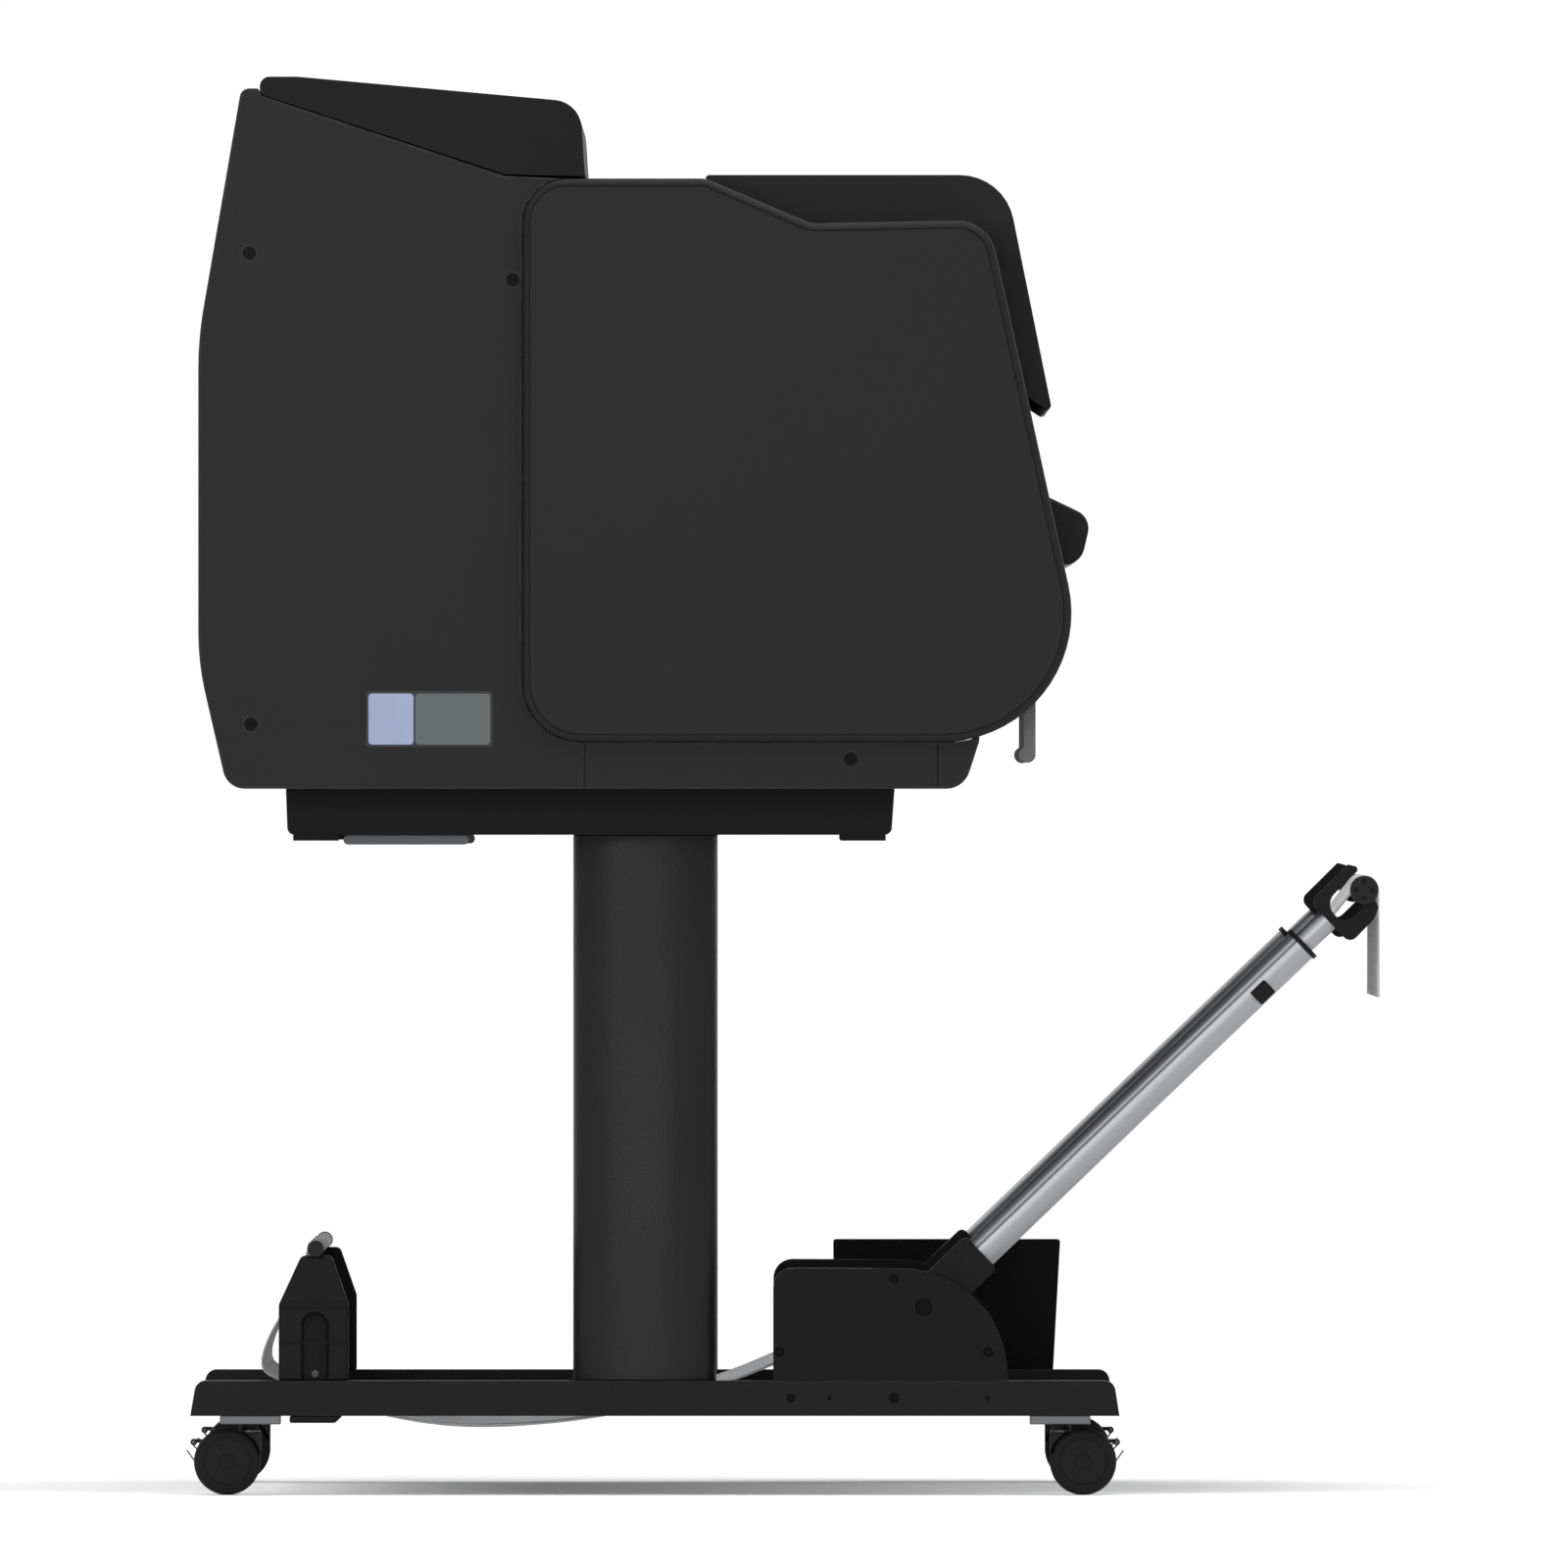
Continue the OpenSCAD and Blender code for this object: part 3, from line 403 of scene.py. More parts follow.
# %% [markdown]
# ## Rounding the parts' edges
# No moulded or folded part has a razor edge, and a rounded edge is what catches the light. The
# parts could be modelled again by hand, but their shape is already right. So a copy of each part is
# welded from its loose triangles, its flat faces are joined, and a Bevel modifier rounds the edges
# that turn sharply. Each edge carries its own weight, so an outer rim can be rounder than a thin lip.

# %% Copy and round a part
SHARP = np.radians(32.0)


def pairs_of_faces(mesh):
    """For a closed mesh, the two faces on each edge, found by sorting the corners by edge."""
    edge_of_corner = np.empty(len(mesh.loops), dtype=int)
    mesh.loops.foreach_get("edge_index", edge_of_corner)
    corners = np.empty(len(mesh.polygons), dtype=int)
    mesh.polygons.foreach_get("loop_total", corners)
    face_of_corner = np.repeat(np.arange(len(corners)), corners)
    counts = np.bincount(edge_of_corner, minlength=len(mesh.edges))
    order = np.argsort(edge_of_corner, kind="stable")
    starts = np.concatenate([[0], np.cumsum(counts)[:-1]])
    first = face_of_corner[order[starts]]
    second = face_of_corner[order[starts + np.minimum(counts, 2) - 1]]
    return first, second


def edge_bends(mesh):
    """Angle between the two faces on each edge, and the edge's middle."""
    first, second = pairs_of_faces(mesh)
    normals = np.empty(len(mesh.polygons) * 3)
    mesh.polygons.foreach_get("normal", normals)
    normals = normals.reshape(-1, 3)
    bend = np.arccos(np.clip((normals[first] * normals[second]).sum(1), -1.0, 1.0))
    places = np.empty(len(mesh.vertices) * 3)
    mesh.vertices.foreach_get("co", places)
    ends = np.empty(len(mesh.edges) * 2, dtype=int)
    mesh.edges.foreach_get("vertices", ends)
    return bend, places.reshape(-1, 3)[ends.reshape(-1, 2)].mean(1)


def soften(node, material, width=0.0008, rim=None, rim_at=None, segments=2, join=True):
    """Stands in for a CAD node: welded, its edges rounded by width, and by rim where rim_at(middles) holds.

    A face pierced by many slots keeps its triangles (join=False), because one large face with holes
    in it shades badly.
    """
    source = frame["nodes"][node].data
    mesh = bpy.data.meshes.new(node + "_moulded")
    shape = bmesh.new()
    shape.from_mesh(source)
    bmesh.ops.remove_doubles(shape, verts=shape.verts, dist=2e-6)
    if join:
        bmesh.ops.dissolve_limit(shape, angle_limit=np.radians(0.8), verts=shape.verts, edges=shape.edges)
    shape.to_mesh(mesh)
    shape.free()
    bend, middle = edge_bends(mesh)
    widest = max(width, rim or 0.0)
    weight = np.where(bend > SHARP, width / widest, 0.0)
    if rim_at is not None:
        weight = np.where((bend > SHARP) & rim_at(middle), 1.0, weight)
    mesh.attributes.new("bevel_weight_edge", "FLOAT", "EDGE").data.foreach_set("value", weight)
    piece = bpy.data.objects.new(mesh.name, mesh)
    bpy.context.collection.objects.link(piece)
    mesh.materials.clear()
    mesh.materials.append(material)
    mesh.shade_smooth()
    rounding = piece.modifiers.new("rounding", "BEVEL")
    rounding.limit_method = "WEIGHT"
    rounding.width = widest
    rounding.segments = segments if rim is None else segments + 2
    rounding.harden_normals = True
    rounding.miter_outer = "MITER_ARC"
    mesh.set_sharp_from_angle(angle=SHARP)
    flatten = piece.modifiers.new("flat_faces", "WEIGHTED_NORMAL")
    flatten.mode = "FACE_AREA"
    flatten.keep_sharp = True
    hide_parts(node)
    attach(piece, BODY_OF[node])
    return piece


def paint(nodes, material):
    """Gives CAD nodes that keep their shape their material."""
    for node in nodes:
        data = frame["nodes"][node].data
        data.materials.clear()
        data.materials.append(material)


# %% [markdown]
# ## The casings
# The two end covers are the parts that the eye goes to: large plates that stand out from the sides,
# with a fat rounded rim that shows as a pale line along the top and the front, helped by a painted
# highlight in the casing material. Their rim gets a round of five millimetres. Thin walls elsewhere
# take less than half of their own thickness.

# %% Casings
def beyond(axis, limit):
    """Picks the edges whose middle lies further out along an axis than limit, on either side."""
    return lambda middle: np.abs(middle[:, axis]) > limit


def outermost(node):
    """Picks the edges on the two outer faces of a node."""
    return beyond(0, np.abs(np.array(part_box(node))[:, 0]).max() - 0.001)


for side in ("left", "right"):
    soften("end_cover_" + side, CASING, 0.0008, rim=0.005, rim_at=outermost("end_cover_" + side))
    soften("side_panel_" + side, CASING, 0.0009)
    soften("ink_lid_" + side, CASING, 0.0009)
soften("rear_cover", CASING, 0.0006, join=False)
for node in ("front_panel", "feed_deck"):
    soften(node, CASING, 0.0009)
soften("exit_guide", COVER, 0.002)
soften("roll_cover", ROLL_COVER, 0.0008, rim=0.002, rim_at=outermost("roll_cover"))
soften("top_cover", COVER, 0.0008, rim=0.002, rim_at=outermost("top_cover"))
soften("base_tray", TRAY_BLACK, 0.0025, segments=3)
soften("operation_panel", COVER, 0.0012)
soften("rod_hooks", GREY, 0.0016, segments=3)
soften("accessory_pocket", POCKET_BLACK_AND_GAP_SHADE, 0.0011)

# %% Stand and basket hardware
TOWER_FACE = 0.5845                    # the towers' outer faces; the pads under the rails stand out more
soften("foot_rails", STAND, 0.0008, rim=0.0026, rim_at=lambda middle: middle[:, 2] > 0.085)
soften("cross_stay", STAND, 0.0008)
soften("caster_plates", ZINC, 0.0009)
soften("arm_hubs", HUB_BLACK, 0.0012, rim=0.0024, rim_at=outermost("arm_hubs"))
soften("rear_towers", BLACK, 0.0014, rim=0.002, rim_at=beyond(0, TOWER_FACE))
soften("arm_sockets", BLACK, 0.0018, segments=3)
soften("rod_holders", BLACK, 0.0014, segments=3)
soften("front_rod", ROD_PAINT, 0.0008)
soften("rear_rod", ROD_PAINT, 0.0016)
for side in ("left", "right"):
    soften("column_" + side, COLUMN, 0.001)
    soften("release_button_" + side, BLACK, 0.0012, segments=3)

# %% Inside
soften("carriage", BLACK, 0.003, segments=3)
soften("maintenance_cartridge", BLACK, 0.002)
soften("carriage_rail", SHEET_STEEL, 0.0008)
soften("power_inlet", BLACK, 0.0006)
paint(["chassis", "drive_pulley"], SHEET_STEEL)
paint(["roll_spindle"], ROD_PAINT)
paint(["screws"], SCREW_BLACK)
paint(["platen", "carriage_drive", "power_key"], BLACK)
paint(["feed_roller", "pinch_rollers"], RUBBER)
paint(["inner_tubes"], ALU)

# %% [markdown]
# ## New pieces as surfaces
# Some pieces are too fine for the design model: cloth, labels, wheels with moulded rings.
# Each is a grid of points worked out by a formula. Rings of points make a closed solid when a quad
# joins each two rings and a lid closes each end. A part that a lathe would make is a profile
# turned round an axis, and a part that an extruder would make is an outline carried along X.

# %% Points of turned and extruded parts
def turned(profile, place, axis=0, segments=48):
    """Rings round an axis: profile rows hold (distance along the axis, radius)."""
    profile = np.array(profile, dtype=float)
    angle = np.arange(segments) * 2.0 * np.pi / segments
    points = np.zeros((len(profile), segments, 3))
    points[..., axis] = profile[:, :1]
    points[..., (axis + 1) % 3] = profile[:, 1:] * np.cos(angle)
    points[..., (axis + 2) % 3] = profile[:, 1:] * np.sin(angle)
    return points + np.array(place)


def extruded(outline, stations):
    """The outline, given in y and z, at each station along X."""
    outline, stations = np.array(outline, dtype=float), np.array(stations, dtype=float)
    points = np.empty((len(stations), len(outline), 3))
    points[..., 0] = stations[:, None]
    points[..., 1:] = outline
    return points


def round_rect(y, z, radius, steps=4):
    """A rectangle from y[0] to y[1] and z[0] to z[1] whose corners are quarter circles."""
    quarter = np.linspace(0.0, np.pi / 2, steps + 1)
    centres = [(y[1] - radius, z[1] - radius, 0.0), (y[0] + radius, z[1] - radius, np.pi / 2),
               (y[0] + radius, z[0] + radius, np.pi), (y[1] - radius, z[0] + radius, 1.5 * np.pi)]
    corners = [np.stack([cy + radius * np.cos(quarter + start), cz + radius * np.sin(quarter + start)], -1)
               for cy, cz, start in centres]
    return np.concatenate(corners)


def mirrored(points):
    """The same part on the other side of the machine."""
    return points * np.array([-1.0, 1.0, 1.0])


# %% Meshes and pieces
def grid_quads(rows, columns, wrap):
    """Corner numbers of the quads between rows of points; wrap joins the last column to the first."""
    across = np.arange(columns if wrap else columns - 1)
    start = np.arange(rows - 1)[:, None] * columns
    beside = start + (across + 1) % columns
    return np.stack([start + across, beside, beside + columns, start + across + columns], -1).reshape(-1, 4)


def solid_faces(rings):
    """Quads between the rings, and a lid on each end ring unless the last ring is the first again."""
    rows, columns = rings.shape[:2]
    last = (rows - 1) * columns
    lids = [list(range(columns)), list(range(last, last + columns))]
    return grid_quads(rows, columns, True).tolist() + ([] if np.allclose(rings[0], rings[-1]) else lids)


def piece_of(name, parts, material, body, rounding=0.0, segments=2):
    """One piece made of closed parts, each an array of rings, that rides on a body."""
    corners, faces, count = [], [], 0
    for rings in parts:
        corners.append(rings.reshape(-1, 3))
        faces += [[count + corner for corner in face] for face in solid_faces(rings)]
        count += rings.shape[0] * rings.shape[1]
    mesh = bpy.data.meshes.new(name)
    mesh.from_pydata(np.concatenate(corners).tolist(), [], faces)
    work = bmesh.new()
    work.from_mesh(mesh)
    bmesh.ops.remove_doubles(work, verts=work.verts, dist=1e-6)
    bmesh.ops.recalc_face_normals(work, faces=work.faces)
    work.to_mesh(mesh)
    work.free()
    mesh.materials.append(material)
    mesh.shade_smooth()
    mesh.set_sharp_from_angle(angle=SHARP)
    piece = bpy.data.objects.new(name, mesh)
    bpy.context.collection.objects.link(piece)
    if rounding:
        edge = piece.modifiers.new("rounding", "BEVEL")
        edge.width = rounding
        edge.segments = segments
        edge.limit_method = "ANGLE"
        edge.angle_limit = SHARP
        edge.harden_normals = True
    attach(piece, body)
    return piece


# %% [markdown]
# ## The basket cloth
# A print drops out of the machine into a sheet of woven polyester. It is tied to the rear rod,
# falls behind the towers, swings under the columns in one long sag, rises to the arms' pivots and
# runs up along the arms to the front rod, where a hem hangs down. The line is one smooth path, so
# the sheet is that path carried across the width. It hangs slack between its ties, so it bellies a
# little more in the middle and puckers in soft folds near its edges. It is cut in two at the
# pivots, where on the machine one part turns with the arms and the other stays: each part is one
# sheet with its own weave.

# %% Weave of the cloth
def make_cloth():
    """Pale woven polyester: threads in the bump, ribs a little darker, slow stains and sheen."""
    material, tree, shader = new_material("basket_weave")
    threads = place_group(tree, WEAVE, Pitch=0.0016, Rib=0.011)
    place = add(tree, "TexCoord").outputs["Object"]
    slow = add(tree, "TexNoise", {"Vector": place, "Scale": 5.0, "Detail": 4.0})
    fine = add(tree, "TexNoise", {"Vector": place, "Scale": 320.0, "Detail": 2.0})
    base = mix_colour(tree, between(tree, slow.outputs["Fac"], 0.35, 0.7),
                      (0.50, 0.505, 0.515), (0.42, 0.425, 0.435))
    ribbed = mix_colour(tree, maths(tree, "MULTIPLY", threads.outputs["Rib"], 0.35), base,
                        (0.30, 0.305, 0.32))
    flecked = mix_colour(tree, between(tree, fine.outputs["Fac"], 0.55, 0.8, 0.0, 0.25), ribbed,
                         (0.62, 0.62, 0.63))
    tree.links.new(flecked, shader.inputs["Base Color"])
    tree.links.new(between(tree, fine.outputs["Fac"], 0.3, 0.7, 0.72, 0.9), shader.inputs["Roughness"])
    bump = add(tree, "Bump", {"Height": threads.outputs["Height"], "Strength": 0.5, "Distance": 0.0003})
    tree.links.new(bump.outputs["Normal"], shader.inputs["Normal"])
    shader.inputs["Sheen Weight"].default_value = 0.3
    shader.inputs["Sheen Roughness"].default_value = 0.5
    shader.inputs["Specular IOR Level"].default_value = 0.2
    return material


CLOTH = make_cloth()

# %% Path of the cloth
def middle_of(node):
    """The middle of a node's box, in y and z."""
    return (np.array(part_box(node)[0]) + np.array(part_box(node)[1]))[1:] / 2


PIVOT = np.array(JOINTS["arm_tilt"]["pos_m"][1:])
ARM = np.array([-np.cos(ARM_TURN), np.sin(ARM_TURN)])
FRONT_ROD, REAR_ROD = middle_of("front_rod"), middle_of("rear_rod")
CLOTH_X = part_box("basket_cloth_rear")[1][0]
REAR_WRAP = 0.0072                     # radius of the cloth round the rear rod
FRONT_WRAP = 0.0122                    # and of the loose sleeve round the front rod
HEM = 0.0885                           # length of the flap that hangs from the front rod


def round_rod(rod, wrap, start, stop):
    """Points round a rod from one angle to another, counted in degrees from +Y towards +Z."""
    angle = np.radians(np.linspace(start, stop, 9))
    return rod + wrap * np.stack([np.cos(angle), np.sin(angle)], -1)


def smooth_path(corners, step, passes):
    """Points every step along the corners, each averaged with its neighbours, pass after pass."""
    corners = np.concatenate(corners)
    run = np.concatenate([[0.0], np.cumsum(np.linalg.norm(np.diff(corners, axis=0), axis=1))])
    stops = np.linspace(0.0, run[-1], int(run[-1] / step) + 1)
    line = np.stack([np.interp(stops, run, corners[:, axis]) for axis in (0, 1)], -1)
    for _ in range(passes):
        line[1:-1] = (line[:-2] + 2.0 * line[1:-1] + line[2:]) / 4.0
    return line


SAG_LOW, SAG_Y = 0.057, 0.250          # the lowest line of the sag
SAG_BEHIND, SAG_FRONT = 1.32, 0.90     # how fast it rises on each side of that line, per metre
sag_y = np.linspace(0.434, -0.025, 40)
sag = np.stack([sag_y, SAG_LOW + np.where(sag_y > SAG_Y, SAG_BEHIND, SAG_FRONT) * (sag_y - SAG_Y) ** 2], -1)
BEHIND_TOWER = REAR_ROD + np.array([[0.010, -0.013], [0.021, -0.040], [0.028, -0.055], [0.0357, -0.066],
                                    [0.0438, -0.085]])
REAR_PATH = smooth_path([round_rod(REAR_ROD, REAR_WRAP, 30, -20), BEHIND_TOWER, sag, [PIVOT]], 0.006, 2)
hem_top = FRONT_ROD + np.array([-FRONT_WRAP, 0.0])
FRONT_PATH = smooth_path([[PIVOT, PIVOT + ARM * 0.47], round_rod(FRONT_ROD, FRONT_WRAP, 95, 180),
                          [hem_top + (0.0, -HEM)]], 0.004, 1)
print("cloth paths of", len(REAR_PATH), "and", len(FRONT_PATH), "points")


# %% Sheets of the cloth
COLUMNS = 121


def cloth_sheet(name, path, bulge):
    """Surface(s, x) = path(s) + normal(s) * bulge(s, x); s and x run from 0 to 1 and -1 to 1."""
    step = np.gradient(path, axis=0)
    normal = np.stack([-step[:, 1], step[:, 0]], -1) / np.linalg.norm(step, axis=1)[:, None]
    run = np.concatenate([[0.0], np.cumsum(np.linalg.norm(np.diff(path, axis=0), axis=1))])
    across = np.linspace(-1.0, 1.0, COLUMNS)
    lift = bulge(run[:, None] / run[-1], across[None, :])
    points = np.empty((len(path), COLUMNS, 3))
    points[..., 0] = across * CLOTH_X
    points[..., 1:] = path[:, None] + normal[:, None] * lift[..., None]
    mesh = bpy.data.meshes.new(name)
    mesh.from_pydata(points.reshape(-1, 3).tolist(), [], grid_quads(len(path), COLUMNS, False).tolist())
    laid = np.stack(np.broadcast_arrays(across[None, :] * CLOTH_X, run[:, None]), -1).reshape(-1, 2)
    corner_vertex = np.empty(len(mesh.loops), dtype=int)
    mesh.loops.foreach_get("vertex_index", corner_vertex)
    mesh.uv_layers.new(name="laid_flat").data.foreach_set("uv", laid[corner_vertex].ravel())
    mesh.materials.append(CLOTH)
    mesh.shade_smooth()
    piece = bpy.data.objects.new(name, mesh)
    bpy.context.collection.objects.link(piece)
    cloth_thickness = piece.modifiers.new("cloth_thickness", "SOLIDIFY")
    cloth_thickness.thickness = 0.0016
    cloth_thickness.offset = 0.0
    print(name, len(mesh.polygons), "quads, cut", round(2 * CLOTH_X, 3), "by", round(float(run[-1]), 3), "m")
    return piece, (2.0 * CLOTH_X, float(run[-1]))


def slack(s, x):
    """A belly that grows to the middle, and soft folds that run down from the ties."""
    belly = np.sin(np.pi * s) * (1.0 - x ** 2)
    folds = np.sin(23.0 * x + 3.0 * np.sin(5.0 * s)) + 0.5 * np.sin(57.0 * x + 4.0 * s)
    return belly, folds * (0.3 + 0.7 * np.abs(x) ** 3)


def rear_bulge(s, x):
    """Up to 2 mm of belly and 0.9 mm of folds, with nothing behind the towers or at the pivots."""
    belly, folds = slack(s, x)
    tied = np.clip(5.0 * (s - 0.2), 0.0, 1.0) * np.clip(8.0 * (1.0 - s), 0.0, 1.0)
    return tied * (0.002 * belly + 0.0009 * folds)


def front_bulge(s, x):
    """Up to 8 mm of belly along the arms, and folds that end at the rod; the hem waves a little."""
    belly, folds = slack(np.clip(s / 0.82, 0.0, 1.0), x)
    hem = np.clip((s - 0.88) / 0.12, 0.0, 1.0)
    return 0.008 * belly + 0.0010 * folds * np.clip(6.0 * s * (0.86 - s), 0.0, 1.0) + 0.0005 * hem * folds


cloth_rear, cut_rear = cloth_sheet("basket_cloth_lower", REAR_PATH, rear_bulge)
cloth_front, cut_front = cloth_sheet("basket_cloth_upper", FRONT_PATH, front_bulge)
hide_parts("basket_cloth_rear")
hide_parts("basket_cloth_front")
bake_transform(cloth_rear)
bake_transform(cloth_front)

# %% [markdown]
# ## Wheels, forks and pedals
# A furniture caster has two moulded discs with a soft round shoulder and a shallow ring on the
# face. A lathe would make that shape, so the profile is turned round the axle. The fork is a web
# between the discs and a shoulder behind them, with a zinc washer on top. The brake pedal is a
# pressed lever with two thin tongues that stand up behind the wheel.

# %% Casters
MM = 0.001
DISC = np.array([(4.6, 0.0), (4.6, 24.6), (5.3, 26.2), (7.0, 27.2), (9.5, 27.5), (15.2, 27.5), (17.8, 27.0),
                 (19.6, 25.7), (20.6, 23.6), (20.9, 20.6), (20.3, 20.0), (20.3, 19.0), (20.9, 18.4),
                 (21.2, 12.0), (21.3, 7.0), (20.2, 6.2), (20.2, 0.0)]) * MM
AXLE = np.array([(-4.6, 0.0), (-4.6, 3.4), (4.6, 3.4), (4.6, 0.0)]) * MM


def line_solid(start, stop, thick, width, place, flip):
    """A flat bar in the y z plane from start to stop, thick across itself and width wide along X."""
    start, stop = np.array(start), np.array(stop)
    along = (stop - start) / np.linalg.norm(stop - start)
    side = np.array([-along[1], along[0]]) * thick / 2
    outline = np.array([start - side, stop - side, stop + side, start + side]) * MM
    return extruded(outline * (flip, 1.0) + place[1:], place[0] + np.array([-width, width]) * MM / 2)


def fork_web():
    """The web between the discs: round the axle, up to the stem, and over to the brake's knuckle."""
    angle = np.radians(np.linspace(-90.0, 35.0, 9))
    nose = np.stack([18.0 + 9.0 * np.cos(angle), 27.5 + 9.0 * np.sin(angle)], -1)
    return np.concatenate([nose, [(30.0, 44.5), (18.0, 51.5), (-9.6, 51.5), (-9.6, 25.0)]])


def fork_shoulder():
    """Between the upright back edge and the disc: a corner whose front is hollowed by the disc's arc."""
    angle = np.radians(np.linspace(123.0, 167.0, 9))
    arc = np.stack([18.0 + 28.2 * np.cos(angle), 27.5 + 28.2 * np.sin(angle)], -1)
    return np.concatenate([arc, [(-9.6, 51.5)]])


for corner in ("fl", "fr", "rl", "rr"):
    stem = np.array(JOINTS["caster_swivel_" + corner]["pos_m"]) * (1.0, 1.0, 0.0)
    flip = -1.0 if corner[0] == "f" else 1.0
    axle = np.array(JOINTS["caster_roll_" + corner]["pos_m"])
    discs = [turned(DISC * (way, 1.0), axle) for way in (-1.0, 1.0)] + [turned(AXLE, axle, segments=24)]
    wheel = piece_of("caster_discs_" + corner, discs, RUBBER, "caster_wheel_" + corner)
    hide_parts("caster_wheel_" + corner)
    body = "caster_fork_" + corner
    web = extruded(fork_web() * MM * (flip, 1.0) + stem[1:], stem[0] + np.array([-4.0, 4.0]) * MM)
    shoulder = extruded(fork_shoulder() * MM * (flip, 1.0) + stem[1:], stem[0] + np.array([-21.0, 21.0]) * MM)
    neck = turned(np.array([(51.0, 0.0), (51.0, 6.0), (53.8, 7.6), (58.0, 7.6), (58.0, 5.4), (63.0, 5.4),
                            (63.0, 0.0)]) * MM, stem, axis=2, segments=32)
    knuckle = turned(np.array([(-3.9, 0.0), (-3.9, 2.8), (3.9, 2.8), (3.9, 0.0)]) * MM,
                     stem + (0.0, flip * 45.7 * MM, 43.5 * MM), segments=24)
    strap = line_solid((26.0, 44.0), (45.7, 44.6), 3.2, 7.6, stem, flip)
    fork = piece_of("caster_yoke_" + corner, [web, shoulder, neck, knuckle, strap], CASTER_BLACK, body,
                    rounding=0.0007)
    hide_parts("caster_fork_" + corner)
    washer = turned(np.array([(51.6, 7.0), (51.6, 9.4), (53.4, 9.4), (53.4, 7.0), (51.6, 7.0)]) * MM, stem,
                    axis=2, segments=32)
    piece_of("caster_washer_" + corner, [washer], ZINC, body)
    tongues = [line_solid((39.5, 33.5), (48.2, 43.6), 1.3, 6.6, stem, flip),
               line_solid((42.5, 24.5), (51.4, 36.9), 1.3, 6.6, stem, flip),
               line_solid((38.0, 31.5), (43.6, 25.5), 3.4, 6.6, stem, flip)]
    pin = turned(np.array([(-9.0, 0.0), (-9.0, 1.5), (9.0, 1.5), (9.0, 0.0)]) * MM,
                 stem + (0.0, flip * 45.7 * MM, 43.5 * MM), segments=20)
    pedal = piece_of("brake_lever_" + corner, tongues + [pin], GREY, "brake_pedal_" + corner,
                     rounding=0.0003)
    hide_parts("brake_pedal_" + corner)
print("four casters with discs, yokes, washers and levers")

# %% [markdown]
# ## The arms
# Each arm is an extruded aluminium tube with a fine groove beside its top, which keys the slider
# inside it. Its section is a circle whose radius dips where the groove is, carried along the arm.
# A clip of black plastic at its end holds the inner tube, and its claw cradles the front rod.

# %% Arm tubes
def along_arm(section, stops, x):
    """Rings of a section, given across the arm as (x, w), at distances from the pivot."""
    section, stops = np.array(section), np.array(stops)
    across = np.array([ARM[1], -ARM[0]])
    points = np.empty((len(stops), len(section), 3))
    points[..., 0] = x + section[:, 0]
    points[..., 1:] = PIVOT + stops[:, None, None] * ARM + section[None, :, 1:] * across
    return points


def grooved(radius, groove_at, depth, steps=96):
    """A circle that dips by depth within a few degrees of each angle in groove_at, on both sides."""
    angle = np.arange(steps) * 2.0 * np.pi / steps
    height = np.degrees(np.arcsin(np.sin(angle)))
    dip = sum(np.exp(-((height - at) / 3.2) ** 2) for at in groove_at)
    size = radius - depth * dip
    return np.stack([size * np.cos(angle), size * np.sin(angle)], -1)


LEG_X = float(np.mean([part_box("column_right")[0][0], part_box("column_right")[1][0]]))
TUBE = grooved(0.0140, (26.0,), 0.0011)
tubes = [along_arm(TUBE, (0.024, 0.4325), way * LEG_X) for way in (-1.0, 1.0)]
arm_tube = piece_of("arm_tubes_grooved", tubes, ALU, "arms")
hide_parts("arm_tubes")
print("arm tubes", len(arm_tube.data.polygons), "faces")

# %% [markdown]
# ## Window, tanks and labels
# The window in the top cover is smoked acrylic. The ink tanks behind the side lids are milky
# plastic, each with a plain band in the colour of its ink. The stickers are blank: a pale field
# and a slate one on a dark ground.

# %% Clear and printed surfaces
def clear(name, shade, rough, through, index=1.49):
    """A see-through plastic: transmission by through, a hint of drift in its gloss."""
    material, tree, shader = new_material(name)
    place = add(tree, "TexCoord").outputs["Object"]
    drift = add(tree, "TexNoise", {"Vector": place, "Scale": 7.0, "Detail": 3.0})
    gloss = between(tree, drift.outputs["Fac"], 0.3, 0.7, rough * 0.8, rough * 1.2)
    tree.links.new(gloss, shader.inputs["Roughness"])
    shader.inputs["Base Color"].default_value = (*shade, 1.0)
    shader.inputs["Transmission Weight"].default_value = through
    shader.inputs["IOR"].default_value = index
    return material


WINDOW = clear("smoked_acrylic", (0.035, 0.036, 0.039), 0.22, 0.5, index=1.18)
SCREEN = clear("screen_glass", (0.010, 0.012, 0.016), 0.2, 0.0, index=1.25)
TANK = clear("milky_tank", (0.62, 0.64, 0.66), 0.35, 0.35)
LABEL_DARK = plastic("label_ground", (0.012, 0.012, 0.013), 0.4, depth=0.02, wear_and_rim_highlight=0.0, specular=0.2)
LABEL_PALE = plastic("label_pale", (0.20, 0.235, 0.335), 0.4, depth=0.02, wear_and_rim_highlight=0.0, specular=0.2)
LABEL_SLATE = plastic("label_slate", (0.064, 0.072, 0.072), 0.4, depth=0.02, wear_and_rim_highlight=0.0, specular=0.2)
BRACKET = plastic("bracket_silver", (0.045, 0.049, 0.052), 0.4, depth=0.03, wear_and_rim_highlight=0.2, specular=0.3)
soften("cover_window", WINDOW, 0.0006)
soften("ink_tanks", TANK, 0.0022, segments=3)

# %% Blank sticker on the side
def plate(y, z, radius, x):
    """A thin plate with round corners that spans y and z, from x[0] to x[1]."""
    return extruded(round_rect(y, z, radius), x)


